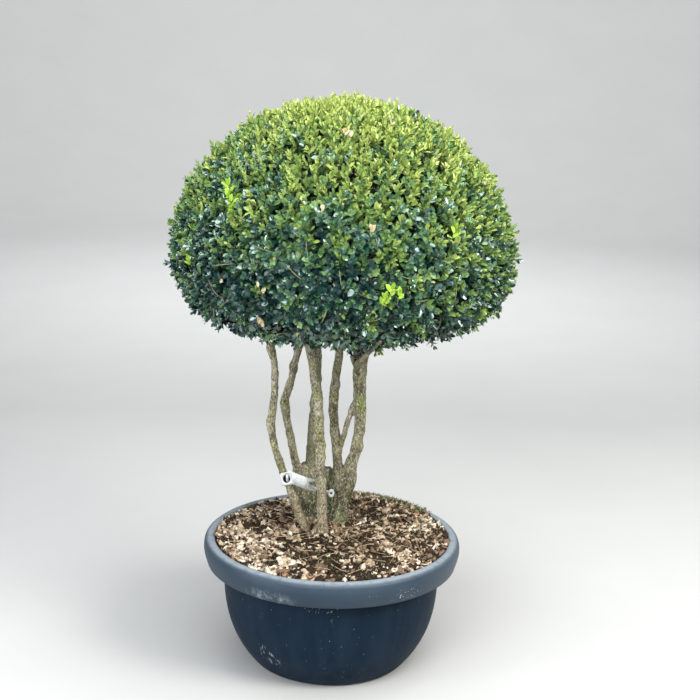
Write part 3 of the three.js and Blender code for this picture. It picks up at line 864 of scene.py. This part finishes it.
def cover(x, y):
    """How thickly chips lie: thin in the bare places and on the ridge."""
    thick = np.ones(len(x))
    edge = 0.25 * ground_noise(x, y, 0.030, 83, 2)
    for px, py, radius in BARE_PATCHES:
        away = np.hypot(x - px, y - py) / radius + edge
        thick = np.minimum(thick, 0.12 + 0.88 * smooth_step((away - 0.6) / 0.6))
    return thick * (1 - 0.15 * heap_share(x, y)) * (1 - 0.70 * ridge_share(x, y))


def make_chips():
    """Chips over the whole bed, one joined mesh for each tint, the pale ones more to the left."""
    x, y = disc_places(CHIP_COUNT, BED_RADIUS)
    kept = random.uniform(0, 1, CHIP_COUNT) < cover(x, y)
    x, y = x[kept], y[kept]
    count = len(x)
    lengths = np.clip(random.lognormal(math.log(0.0108), 0.42, count), 0.005, 0.027)
    widths = lengths * random.uniform(0.35, 0.90, count)
    thicknesses = random.uniform(0.0020, 0.0054, count)
    lift = random.uniform(-0.001, 0.006, count)
    shapes, quads = chip_shapes(lengths, widths, thicknesses, x, y, lift)
    heap = heap_share(x, y)
    clumps = ground_noise(x, y, 0.045, 23, 3) * (0.26 + 0.12 * heap)
    place = 0.02 * smooth_step((-0.10 - y) / 0.1) + 0.14 * smooth_step((-0.08 - x) / 0.1) + 0.04 * heap
    pick = random.uniform(0, 1, count) - clumps - place
    edges = np.cumsum([share for _, _, share in CHIP_TINTS])
    kinds = np.clip(np.searchsorted(edges, pick), 0, len(CHIP_TINTS) - 1)
    for k, (name, colour, _) in enumerate(CHIP_TINTS):
        material = chip_material(name, colour)
        add_copies("chips_" + name, shapes[kinds == k], quads, material, "bark_mulch", smooth=False)


def make_crumbs():
    """Small dark lumps of compost that show in the bare places and between the chips."""
    x, y = disc_places(CRUMB_COUNT, BED_RADIUS)
    size = random.uniform(0.0012, 0.0042, CRUMB_COUNT)
    corners = np.array([(1, 0, 0), (-1, 0, 0), (0, 1, 0), (0, -1, 0), (0, 0, 1), (0, 0, -1)], float)
    triangles = np.array([(0, 2, 4), (2, 1, 4), (1, 3, 4), (3, 0, 4),
                          (2, 0, 5), (1, 2, 5), (3, 1, 5), (0, 3, 5)])
    local = corners[None] * size[:, None, None] * random.uniform(0.5, 1.3, (CRUMB_COUNT, 6, 1))
    local = turn_all(local, *(random.uniform(0, 3, CRUMB_COUNT) for _ in range(3)))
    shapes = local + stacked(x, y, soil_height(x, y) + 0.0015)[:, None]
    material = plain_material("crumbs", (0.048, 0.033, 0.023), 0.95, 0.8, 90)
    add_copies("crumbs", shapes, triangles, material, "bark_mulch", smooth=False)


def make_straws():
    """Thin pale stalks that lie among the chips."""
    count = STRAW_COUNT
    x, y = disc_places(count, SOIL_RADIUS - 0.04)
    yaw = random.uniform(0, 2 * math.pi, count)[:, None]
    length = random.uniform(0.018, 0.055, count)[:, None]
    share = np.linspace(-0.5, 0.5, 6)[None]
    bend = random.normal(0, 0.25, count)[:, None]
    along, off = share * length, bend * length * share ** 2
    px = x[:, None] + along * np.cos(yaw) - off * np.sin(yaw)
    py = y[:, None] + along * np.sin(yaw) + off * np.cos(yaw)
    pz = soil_height(px, py) + 0.006 + 0.004 * np.abs(random.normal(0, 1, (count, 1)))
    radii = np.full((count, 6), 0.0005) * random.uniform(0.6, 1.5, (count, 1))
    material = plain_material("straw", (0.50, 0.38, 0.22), 0.8)
    add_mesh("straws", *tubes(stacked(px, py, pz), radii, 4), material, "bark_mulch")


def moss_share(x, y):
    """How mossy the soil is: on the heap, at the back left of the rim, and by the stump."""
    radius = np.hypot(x, y)
    toward = np.degrees(np.arctan2(y, x))
    left = smooth_step((radius - 0.20) / 0.05) * within(toward, 105, 20, 170, 20)
    right = smooth_step((radius - 0.13) / 0.10) * within(toward, -12, 30, 100, 20)
    stump = smooth_step(1 - np.hypot(x + 0.02, y - 0.115) / 0.13)
    patches = 0.5 + 0.5 * ground_noise(x, y, 0.030, 31, 3)
    mossy = 0.7 * left + 0.9 * right + 0.55 * stump + 0.10
    return mossy * smooth_step((patches - 0.30) / 0.4) + ridge_share(x, y)


def make_moss():
    """Small tufts, on the soil and where the heap lies on the rim's lip."""
    x, y = disc_places(MOSS_TRIES, MOUTH_RADIUS + 0.010)
    radius = np.hypot(x, y)
    on_lip = radius > SOIL_RADIUS - 0.004
    lip_share = heap_share(x, y) ** 2 * smooth_step((MOUTH_RADIUS + 0.012 - radius) / 0.008)
    kept = random.uniform(0, 1, len(x)) < np.where(on_lip, lip_share, moss_share(x, y)) * 0.42
    x, y, on_lip = x[kept], y[kept], on_lip[kept]
    n = len(x)
    raised = random.uniform(0.0, 0.005, n) + 0.002 * ridge_share(x, y)
    floor = np.where(on_lip, POT_HEIGHT + 0.003, soil_height(x, y) + raised)
    height = random.uniform(0.0022, 0.0058, n)
    foot = stacked(x, y, floor)
    lean = random.normal(0, 0.45, (n, 2))
    tip = foot + stacked(lean[:, 0] * height, lean[:, 1] * height, height)
    radii = stacked(random.uniform(0.0006, 0.0013, n), np.full(n, 0.0002))
    pale = random.uniform(0, 1, n) < 0.2 + 0.3 * heap_share(x, y)
    tints = (("moss", (0.110, 0.128, 0.050), ~pale), ("pale_moss", (0.420, 0.405, 0.270), pale))
    for name, colour, chosen in tints:
        tufts = tubes(np.stack([foot, tip], 1)[chosen], radii[chosen], 3)
        add_mesh(name, *tufts, plain_material(name, colour, 0.9, 0.6, 60), "bark_mulch")


# Stems

def limb_sections(name, count):
    """The middle and the radius of a limb's solid at even heights, from where its faces are cut level."""
    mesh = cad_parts[name].data
    points = np.array([v.co for v in mesh.vertices])
    edges = np.array([e.vertices for e in mesh.edges])
    a, b = points[edges[:, 0]], points[edges[:, 1]]
    middles, radii = [], []
    for z in np.linspace(points[:, 2].min() + 1e-4, points[:, 2].max() - 1e-4, count):
        cut = (a[:, 2] - z) * (b[:, 2] - z) < 0
        share = (z - a[cut, 2]) / (b[cut, 2] - a[cut, 2])
        ring = a[cut] + (b[cut] - a[cut]) * share[:, None]
        middle = (ring.min(0) + ring.max(0)) / 2
        middles.append(middle)
        radii.append(np.linalg.norm(ring - middle, axis=1).mean())
    middles, radii = np.array(middles), np.array(radii)
    slant = unit(np.gradient(middles, axis=0))[:, 2]
    return middles, radii * (0.5 + 0.5 * slant)


def smoothed(line, passes):
    for _ in range(passes):
        line[1:-1] = 0.25 * line[:-2] + 0.5 * line[1:-1] + 0.25 * line[2:]
    return line


def limb_tube(name, below=0.0, above=0.0, flare=2.0):
    """A limb's tube along its solid, drawn out a little into what it grows from and into the crown."""
    middles, radii = limb_sections(name, 72)
    middles, radii = smoothed(middles, 2), smoothed(radii, 3)
    radii = np.minimum(radii, flare * np.median(radii))
    if below:
        start = middles[0] - unit(middles[4] - middles[0]) * below
        middles = np.concatenate([[start], middles])
        radii = np.concatenate([radii[:1], radii])
    if above:
        end = middles[-1] + unit(middles[-1] - middles[-5]) * above
        middles = np.concatenate([middles, [end]])
        radii = np.concatenate([radii, radii[-1:] * 0.9])
    along, still = middles[:, 2] / 0.045, 0 * radii
    wave = 0.0011 * stacked(*(value_noise(stacked(along, still, still + k), 50 + k) for k in range(3)))
    return tubes((middles + wave)[None], radii[None], LIMB_SIDES)


def stump_mass():
    """The stump's lobes and saddle as rounded lumps that stand in the soil."""
    parts = []
    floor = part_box("stump")[0][2] - 0.006
    share = np.linspace(0, 1, 12)
    for (x0, y0), (x1, y1), low, high, rise in STUMP_LUMPS:
        line = stacked(x0 + (x1 - x0) * share, y0 + (y1 - y0) * share, floor + rise * share)
        radii = (low + (high - low) * share) * np.sqrt(np.clip(1 - (share * 0.93) ** 8, 0, 1))
        parts.append(tubes(line[None], radii[None], 24))
    return parts


def bark_relief(piece, knots):
    """Moves a smooth limb's points along their normals: knots, ridges and corky flakes."""
    mesh = piece.data
    points, normals = np.empty((2, len(mesh.vertices) * 3))
    mesh.vertices.foreach_get("co", points)
    mesh.vertex_normals.foreach_get("vector", normals)
    points, normals = points.reshape(-1, 3), normals.reshape(-1, 3)
    low_down = smooth_step((SOIL_TOP + 0.155 - points[:, 2]) / 0.04)
    low_down *= smooth_step((points[:, 1] - 0.03) / 0.03)
    depth = (0.0014 + 0.0012 * low_down) * rough_noise(points * [1, 1, 0.6], 0.016, 3, 2)
    depth += 0.0026 * low_down * rough_noise(points * [1, 1, 0.28], 0.0075, 9, 2)
    depth += 0.0010 * rough_noise(points * [1, 1, 0.4], 0.0048, 5, 2)
    for knot in knots:
        away = np.linalg.norm(points - knot[:3], axis=1) / knot[3]
        depth += knot[3] * 0.28 * np.exp(-away ** 2)
    mesh.vertices.foreach_set("co", (points + normals * depth[:, None]).ravel())
    mesh.update()


def grown_skin(name, parts, material, knots):
    """One skin with the bark's relief over limbs that grow into each other."""
    piece = add_mesh(name, *merged(parts), material, "stem_bark")
    remesh = piece.modifiers.new("skin", "REMESH")
    remesh.mode = "VOXEL"
    remesh.voxel_size = BARK_VOXEL
    remesh.use_smooth_shade = True
    piece.modifiers.new("soften", "SMOOTH").iterations = 6
    apply_modifiers(piece)
    bark_relief(piece, np.array(knots))
    return piece


def knots_along(name, count, sections=40):
    """Seeded swellings on a limb's side, where twigs were cut off."""
    middles, radii = limb_sections(name, sections)
    knots = []
    for i in random.integers(3, sections - 3, count):
        angle = random.uniform(0, 2 * math.pi)
        side = np.array([math.cos(angle), math.sin(angle), 0]) * radii[i] * 0.9
        knots.append((*(middles[i] + side), random.uniform(0.006, 0.011)))
    return knots


def make_stems(material):
    parts = stump_mass()
    knots = list(KNEES)
    for name in CLUMP_STEMS:
        parts.append(limb_tube(name, below=0.028, above=0.03))
        knots += knots_along(name, 7)
    parts.append(limb_tube("stem_fork", below=0.010, above=0.012))
    clump = grown_skin("stems_of_the_clump", parts, material, knots)
    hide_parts("stump", "stem_fork", *CLUMP_STEMS)
    for name in FRONT_STEMS:
        parts = [limb_tube(name, above=0.03, flare=1.22)]
        stem = grown_skin(name + "_bark", parts, material, knots_along(name, 8) + KNEES)
        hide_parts(name)


# Crown

def crown_profile(angle):
    """[radius, height] of the outline at an angle from its top, 0, to its underside, pi."""
    sine, cosine = math.sin(angle), math.cos(angle)
    power, reach = (RISE_POWER, CROWN_RISE) if cosine > 0 else (DROP_POWER, CROWN_DROP)
    scale = (abs(sine) ** power + abs(cosine) ** power) ** (-1 / power)
    return CROWN_RADIUS * sine * scale, reach * cosine * scale


def even_places(count, draw):
    """Places spread evenly over the crown's outline, each with the way out of the crown there."""
    rings = np.array([crown_profile(i / OUTLINE_STEPS * math.pi) for i in range(OUTLINE_STEPS + 1)])
    spans = np.hypot(*(rings[1:] - rings[:-1]).T) * (rings[1:, 0] + rings[:-1, 0])
    areas = np.concatenate([[0], np.cumsum(spans)])
    draws = np.array([(draw(), draw()) for _ in range(count)])
    wanted = (np.arange(count) + 0.2 + 0.6 * draws[:, 0]) / count * areas[-1]
    following = np.clip(np.searchsorted(areas, wanted), 1, OUTLINE_STEPS)
    share = (wanted - areas[following - 1]) / (areas[following] - areas[following - 1])
    near, step = rings[following - 1], rings[following] - rings[following - 1]
    angle = np.arange(count) * GOLDEN_ANGLE + (draws[:, 1] - 0.5) * 0.12
    round_way = stacked(np.cos(angle), np.sin(angle))
    radius, height = (near + step * share[:, None]).T
    places = np.concatenate([round_way * radius[:, None], height[:, None]], -1)
    out = np.concatenate([round_way * -step[:, 1:], step[:, :1]], -1)
    return places + CROWN_CENTRE, unit(out)


def bezier(start, start_way, end, end_way, steps):
    """Curves from start to end that leave and arrive along the given ways."""
    reach = np.linalg.norm(end - start, axis=1, keepdims=True) * 0.38
    a, b = start + start_way * reach, end - end_way * reach
    t = np.linspace(0, 1, steps)[None, :, None]
    return ((1 - t) ** 3 * start[:, None] + 3 * t * (1 - t) ** 2 * a[:, None]
            + 3 * t ** 2 * (1 - t) * b[:, None] + t ** 3 * end[:, None])


def joined_to(lines, ends, aim):
    """For each end, a place and the way there on the nearest of the lines that carry it."""
    tree = kdtree.KDTree(len(lines))
    for i, line in enumerate(lines):
        tree.insert(line[-1], i)
    tree.balance()
    chosen = np.array([tree.find(Vector(place))[1] for place in aim])
    steps = lines.shape[1]
    at = np.clip(steps - 1 - random.integers(0, max(2, steps // 2), len(ends)), 1, steps - 1)
    start = lines[chosen, at]
    return start, unit(start - lines[chosen, at - 1])


def stem_tips():
    """The last stretch of each stem, which the boughs grow on from."""
    lines = []
    for name in CLUMP_STEMS + FRONT_STEMS:
        middles, _ = limb_sections(name, 40)
        rise = unit(unit(middles[-1] - middles[-6]) * [0.6, 0.6, 1])
        lines.append([middles[-1] + rise * s for s in (-0.01, 0.01, 0.03, 0.05, 0.07, 0.09)])
    return np.array(lines)


def make_limbs(material):
    """Boughs and branches that fork from the stems' tips out to places under the outline."""
    draw = make_draw(LIMB_SEED)
    lines = stem_tips()
    parts = [tapering(lines, 0.008, 0.006, 7)]
    for level in LIMB_LEVELS:
        places, out = even_places(level["count"], draw)
        ends = places - out * level["inset"]
        way = unit(out + [0, 0, 0.35] + random.normal(0, 0.25, out.shape))
        aim = ends - out * level["inset"] * 0.6 - [0, 0, 0.02]
        start, start_way = joined_to(lines, ends, aim)
        lines = bezier(start, start_way, ends, way, level["steps"])
        parts.append(tapering(lines, *(width / 2 for width in level["widths"]), level["sides"]))
    for path, radii in SIDE_TWIGS:
        parts.append(tubes(np.array([path]), np.array([radii]), 8))
    add_mesh("boughs_and_branches", *merged(parts), material, "stem_bark")
    return lines


def shoot_lines(branches, out, ends, lift):
    """Shoots from the branches to their ends, which they reach outwards and upwards."""
    way = unit(out + lift[:, None] * [0, 0, 1] + random.normal(0, 0.26, out.shape))
    start, start_way = joined_to(branches, ends, ends - out * 0.045 - [0, 0, 0.012])
    return bezier(start, unit(start_way + way), ends, way, SHOOT_STEPS)


def where_in_crown(places):
    """How high a place is in the crown, how far to the right, and its patch of growth."""
    high = (places[:, 2] - CROWN_CENTRE[2] + CROWN_DROP) / (CROWN_RISE + CROWN_DROP)
    side = (places[:, 0] - CROWN_CENTRE[0]) / CROWN_RADIUS
    return high, side, rough_noise(places, *PATCH_NOISE)


def shoot_set(lines, out, places=None, **given):
    """Shoots with what their leaves' tints go by, which is that of old shoots deep inside unless given."""
    count = len(lines)
    none = np.zeros(count, bool)
    high, side, patch = (np.full(count, value) for value in (0.0, 0.0, NO_PATCH))
    if places is not None:
        high, side, patch = where_in_crown(places)
    return {"lines": lines, "out": out, "high": high, "side": side, "patch": patch, "young": none,
            "long": none, "tint": np.full(count, BY_AGE), "young_leaf": YOUNG_LEAF, **given}


def make_shoots(branches):
    """The outer shoots: old ones a little under the outline, and the new growth that stands out of it."""
    places, out = even_places(SHOOT_COUNT, make_draw(SHOOT_SEED))
    gap = rough_noise(places, *GAP_NOISE) - 0.10 * (out[:, 2] > 0.2)
    under = smooth_step((-out[:, 2] - 0.55) / 0.4)
    kept = (random.uniform(0, 1, SHOOT_COUNT) > under * 0.45) & (gap > -0.92)
    places, out, gap, under = places[kept], out[kept], gap[kept], under[kept]
    count = len(places)
    high, side, patch = where_in_crown(places)
    low_right = smooth_step((out @ unit(np.array([0.80, -0.45, -0.45])) - 0.72) / 0.2)
    # More new growth higher up, to the right and at the low right: partly real growth, partly painted light
    # from above and from the right
    young_share = 1.20 * high - 0.26 + 0.22 * patch + 0.18 * side + 0.22 * low_right
    young = random.uniform(0, 1, count) < np.clip(young_share, 0.015, 0.95)
    stray = np.where(young, random.normal(-0.006, 0.0055, count), random.normal(-0.013, 0.0060, count))
    stray = np.clip(stray + 0.010 * np.minimum(gap, 0) - 0.005 * np.maximum(out[:, 2], 0), -0.045, 0.010)
    stray += 0.009 * under * ~young
    long = young & (random.uniform(0, 1, count) < 0.05 * smooth_step((high - 0.2) / 0.3))
    stray += 0.006 * low_right + long * random.uniform(0.003, 0.010, count)
    ends = places + out * stray[:, None]
    lift = np.where(out[:, 2] > -0.5, np.where(young, 1.9, 0.55), 0.05)
    return shoot_set(shoot_lines(branches, out, ends, lift), out, places, young=young, long=long)


def inner_shoots(branches):
    """A sparser layer that closes the view into the crown, its leaves in the darkest old tints: older
    leaves, and partly painted shade.
    """
    places, out = even_places(INNER_COUNT, make_draw(INNER_SEED))
    ends = places - out * (INNER_INSET + random.normal(0, 0.008, (INNER_COUNT, 1)))
    return shoot_set(shoot_lines(branches, out, ends, np.full(INNER_COUNT, 0.3)), out)


def hanging_shoots(branches, hanging):
    """A few shoots that hang under the crown."""
    count = hanging["count"]
    ends = np.array(hanging["middle"]) + random.normal(0, 1, (count, 3)) * hanging["reach"]
    out = unit(np.tile([0.1, -0.5, -0.6], (count, 1)) + random.normal(0, 0.4, (count, 3)))
    lines = shoot_lines(branches, out, ends, np.zeros(count))
    tint = TINT_NAMES.index(hanging["tint"]) if hanging["tint"] else BY_AGE
    return shoot_set(lines, out, tint=np.full(count, tint))


def landmark_shoots(pairs):
    """The sprigs that stand out, those with so many pairs of leaves."""
    chosen = [mark for mark in LANDMARKS if mark[3] == pairs]
    tips = np.array([tip for tip, *_ in chosen])
    lengths = np.array([length for _, length, *_ in chosen])[:, None]
    tint = np.array([TINT_NAMES.index(name) for _, _, name, _ in chosen])
    out = unit((tips - CROWN_CENTRE) * [1, 1, 0.6])
    way = unit(out * 0.35 + [0, 0, 1])
    lines = bezier(tips - way * lengths - out * 0.004, way, tips, way, SHOOT_STEPS)
    young = np.ones(len(chosen), bool)
    return shoot_set(lines, out, tips, young=young, tint=tint, young_leaf=SPRIG_LEAF)


def bare_twigs(material):
    """Thin twigs without leaves that arch over the leaves of the crown's lower front."""
    places, out = even_places(TWIG_TRIES, make_draw(TWIG_SEED))
    seen = (out[:, 1] < -0.2) & (places[:, 2] < CROWN_CENTRE[2] + 0.08) & (out[:, 2] > -0.75)
    places, out = places[seen], out[seen]
    along = square_to(random.normal(0, 1, out.shape) + [0, 0, -0.4], out)
    reach = random.uniform(0.022, 0.050, (len(out), 1))
    end = places + along * reach - out * random.uniform(0.002, 0.010, (len(out), 1))
    lines = bezier(places - out * 0.018, unit(out + along), end, unit(along - 0.35 * out), 7)
    add_mesh("bare_twigs", *tapering(lines, 0.0010, 0.0006, 4), material, "stem_bark")


def leaf_template():
    """A cupped oval leaf of eight points: along 0..1, across -1..1 of its half width, and up."""
    points = [(0.0, 0.0, 0.0)]
    for along, half in ((0.32, 0.90), (0.74, 0.88)):
        points += [(along, -half, 0.09 * half), (along, 0.0, -0.02), (along, half, 0.09 * half)]
    points.append((1.0, 0.0, -0.01))
    faces = [(0, 1, 2), (0, 2, 3), (1, 4, 5), (1, 5, 2), (2, 5, 6), (2, 6, 3), (4, 7, 5), (5, 7, 6)]
    return np.array(points), np.array(faces)


def leaves_on(shoots, pairs):
    """Pairs of leaves, each pair crossed to the next, down from the end of every shoot."""
    lines, out, young, young_leaf = (shoots[key] for key in ("lines", "out", "young", "young_leaf"))
    count, steps = lines.shape[:2]
    length = np.linalg.norm(lines[:, 1:] - lines[:, :-1], axis=2).sum(1)
    roll = random.uniform(0, math.pi, count)
    spacing, size = (np.where(young, young_leaf[key], OLD_LEAF[key]) for key in ("spacing", "length"))
    turned = np.where(young, 0.25, 0.60)[:, None]
    leaves = []
    for pair in range(pairs):
        back = pair * spacing * random.uniform(0.85, 1.15, count)
        share = np.clip(1 - back / length, 0.05, 1) * (steps - 1)
        i = np.minimum(share.astype(int), steps - 2)
        here, there = lines[np.arange(count), i], lines[np.arange(count), i + 1]
        root = here + (there - here) * (share - i)[:, None]
        axis = unit(there - here)
        side = unit(np.cross(axis, [0.31, 0.17, 0.94]))
        other = np.cross(axis, side)
        angle = roll + pair * math.pi / 2 + random.normal(0, 0.2, count)
        across = side * np.cos(angle)[:, None] + other * np.sin(angle)[:, None]
        opened = [np.interp(pair, range(5), leaf["spread"]) for leaf in (young_leaf, OLD_LEAF)]
        grown = np.interp(pair, range(3), GROWN_SHARES)
        for way in (1, -1):
            spread = np.radians(np.where(young, *opened)) + random.normal(0, 0.17, count)
            c, s = np.cos(spread)[:, None], np.sin(spread)[:, None]
            along = unit(axis * c + across * way * s + random.normal(0, 0.10, axis.shape))
            face = axis * s - across * way * c + (out + [0, 0, 0.6]) * turned
            face = face + random.normal(0, 0.16, axis.shape)
            reach = size * grown * random.normal(1, 0.13, count)
            leaves.append((root, along, square_to(face, along), reach, np.full(count, pair)))
    which = np.tile(np.arange(count), 2 * pairs)
    return *(np.concatenate(part) for part in zip(*leaves)), which


def leaf_shapes(roots, alongs, faces, lengths, widths):
    """Every leaf's points, from its root, its way, the way it faces, its length and its width's share."""
    template, triangles = leaf_template()
    across = np.cross(faces, alongs)
    shapes = roots[:, None] + lengths[:, None, None] * (
        alongs[:, None] * template[None, :, :1]
        + across[:, None] * template[None, :, 1:2] * (widths[:, None, None] / 2)
        + faces[:, None] * template[None, :, 2:])
    return shapes, triangles


def tint_numbers(shoots, ages, which):
    """Which tint each leaf takes: its shoot's own, or by the shoot's age, height, side and patch."""
    high, side, patch, young, long, tint = (
        shoots[key][which] for key in ("high", "side", "patch", "young", "long", "tint"))
    own = random.normal(0, 0.14, len(shoots["young"]))[which] + random.normal(0, 0.18, len(which))
    own = own * (1.25 - 0.40 * high)
    # Tints run lighter with height and to the right: partly younger leaves, partly painted light from above
    # and the right and painted shade low down
    old = 0.20 + 0.62 * high + 0.08 * side + 0.20 * patch + own - 0.03 * ages
    new = 0.74 * high - 0.17 + 0.12 * side + 0.13 * patch + own + 0.12 * long - 0.07 * ages
    new_number = len(OLD_TINTS) + np.searchsorted(YOUNG_LEVELS, new)
    number = np.where(young, new_number, np.searchsorted(OLD_LEVELS, old))
    tan = (random.uniform(0, 1, len(which)) < TAN_SHARE) & (patch > NO_PATCH)
    return np.where(tint != BY_AGE, tint, np.where(tan, TINT_NAMES.index("tan"), number))


def make_crown(bark):
    """Limbs, shoots and leaves, the leaves dealt out by their tints."""
    branches = make_limbs(bark)
    layers = [(make_shoots(branches), PAIRS_PER_SHOOT), (inner_shoots(branches), INNER_PAIRS)]
    layers += [(hanging_shoots(branches, hanging), PAIRS_PER_SHOOT) for hanging in HANGING]
    layers += [(landmark_shoots(pairs), pairs) for pairs in sorted({mark[3] for mark in LANDMARKS})]
    stems, leaves, numbers = [], [], []
    for shoots, pairs in layers:
        stems.append(tapering(shoots["lines"], *(width / 2 for width in SHOOT_WIDTHS), 3))
        *placed, ages, which = leaves_on(shoots, pairs)
        widths = np.where(shoots["young"][which], shoots["young_leaf"]["width"], OLD_LEAF["width"])
        shapes, triangles = leaf_shapes(*placed, widths)
        leaves.append(shapes)
        numbers.append(tint_numbers(shoots, ages, which))
    green = plain_material("green_twig", (0.30, 0.31, 0.12), 0.6, 0.35, 40)
    add_mesh("shoots", *merged(stems), green, "stem_bark")
    bare_twigs(plain_material("bare_twig", (0.225, 0.215, 0.118), 0.7, 0.3, 60))

    shapes, numbers = np.concatenate(leaves), np.concatenate(numbers)
    for k, (name, colour) in enumerate(ALL_TINTS.items()):
        material = leaf_material(name, colour, LEAF_GLOSS.get(name, 0.0))
        piece = add_copies("leaves_" + name, shapes[numbers == k], triangles, material, "leaves")
        if k == 0:
            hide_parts("foliage")


# Tag, floor, light and camera

def tag_material():
    stops = [(0.3, (0.47, 0.48, 0.47)), (0.6, (0.63, 0.655, 0.66))]
    return grained("tag_plastic", (0.80, 0.81, 0.80), (0.38, 0.5), (120, 5, 0.6), stops)


def tag_sheet(flat, closed):
    """A thin closed sheet between two rows of places (x, z), laid along the tag's path."""
    n = len(flat)
    y = np.interp(flat[:, 0], *np.array(TAG_PATH).T)
    front = stacked(flat[:, 0], y - TAG_THICKNESS / 2, flat[:, 1])
    back = front + [0, TAG_THICKNESS, 0]
    faces = halves(grid_faces(2, n // 2, closed))
    edges = {(a, b) for f in faces.tolist() for a, b in zip(f, f[1:] + f[:1])}
    sides = []
    for a, b in edges:
        if (b, a) not in edges:
            sides += [(b, a, a + n), (b, a + n, b + n)]
    return np.concatenate([front, back]), np.concatenate([faces, faces[:, ::-1] + n, sides])


def tag_band(columns, steps=6):
    """A band of the tag between its columns."""
    columns = np.array(columns)
    at = np.linspace(0, len(columns) - 1, steps * (len(columns) - 1) + 1)
    rows = stacked(*(np.interp(at, range(len(columns)), column) for column in columns.T))
    return tag_sheet(np.concatenate([rows[:, :2], rows[:, 2:]]), closed=False)


def ring_places(middle, half, turn):
    return np.array(middle) + stacked(np.cos(turn) * half[0], np.sin(turn) * half[1])


def head_edge(turn):
    """The head's edge, seen from its slot, at each angle of a turn."""
    (ax, az, bx, bz), (cx, cz, dx, dz) = TAG_HEAD
    corners = np.array([(dx, dz), (bx, bz), (ax, az), (cx, cz)])
    middle = np.array(TAG_SLOT)
    edge = []
    for angle in turn:
        way = np.array([math.cos(angle), math.sin(angle)])
        reaches = []
        for p, q in zip(corners, np.roll(corners, -1, axis=0)):
            if np.cross(way, q - p) != 0:
                reaches.append(np.cross(p - middle, q - p) / np.cross(way, q - p))
        edge.append(middle + way * min(reach for reach in reaches if reach > 0))
    return edge


def make_tag():
    """A blank loop label: a head with a slot, a strip with a forked end, and a tail to a small eye."""
    turn = full_turn(40)
    head = tag_sheet(np.concatenate([head_edge(turn), ring_places(TAG_SLOT, TAG_SLOT_HALF, turn)]), True)
    eye_rings = [ring_places(TAG_EYE, half, turn) for half in (TAG_EYE_HALF, TAG_HOLE_HALF)]
    parts = [head, tag_sheet(np.concatenate(eye_rings), True)]
    parts += [tag_band(columns) for columns in TAG_BANDS.values()]
    tag = add_mesh("tag_label", *merged(parts), tag_material(), "tag_plastic", smooth=False)
    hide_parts("plant_tag")


def make_stage():
    """A pale floor that sweeps up into a wall all round, so that no edge shows behind the plant."""
    sweep = np.linspace(0, math.pi / 2, FLOOR_STEPS + 1)
    rise = stacked(FLOOR_FLAT + FLOOR_RISE * np.sin(sweep), FLOOR_RISE * (1 - np.cos(sweep)))
    profile = np.concatenate([[(0.0, 0.0), (FLOOR_FLAT / 2, 0.0)], rise])
    mesh = make_mesh("floor", turned_round(profile, FLOOR_SIDES), grid_faces(len(profile), FLOOR_SIDES))
    mesh.shade_smooth()
    stops = [(0.3, (0.465, 0.465, 0.460)), (0.7, (0.480, 0.480, 0.475))]
    mesh.materials.append(grained("floor", (0.47, 0.47, 0.465), (0.85, 0.1), (3,), stops))
    floor = placed("floor", mesh)


def add_light(name, place, aim, size, power, colour, spread):
    light = bpy.data.lights.new(name, "AREA")
    light.shape = "DISK"
    light.size = size
    light.energy = power
    light.color = colour
    light.spread = math.radians(spread)
    holder = placed(name, light)
    holder.location = place
    holder.rotation_mode = "QUATERNION"
    holder.rotation_quaternion = (Vector(aim) - Vector(place)).to_track_quat("-Z", "Y")
    holder.visible_camera = False


def make_lights():
    """A bright overcast sky: a wide panel above, a warmer one from the front right, and pale air."""
    world = bpy.data.worlds.new("studio")
    world.use_nodes = True
    back = world.node_tree.nodes["Background"]
    back.inputs["Color"].default_value = (*AIR_COLOUR, 1)
    back.inputs["Strength"].default_value = AIR_STRENGTH
    bpy.context.scene.world = world
    for name, values in LIGHTS.items():
        add_light(name, *values)


def make_camera():
    data = bpy.data.cameras.new("camera")
    data.sensor_width = CAMERA_SENSOR
    data.lens = CAMERA_LENS
    camera = placed("camera", data)
    tilt = Matrix.Rotation(math.pi / 2 - math.radians(CAMERA_TILT), 4, "X")
    roll = Matrix.Rotation(math.radians(CAMERA_ROLL), 4, "Z")
    camera.matrix_world = Matrix.Translation(CAMERA_PLACE) @ tilt @ roll
    bpy.context.scene.camera = camera
    bpy.context.scene.view_settings.view_transform = "Standard"


bark = bark_material()
soil = soil_material()
make_pot()
make_soil(soil)
make_heap(soil)
make_chips()
make_crumbs()
make_straws()
make_moss()
make_stems(bark)
make_crown(bark)
make_tag()
make_stage()
make_lights()
make_camera()
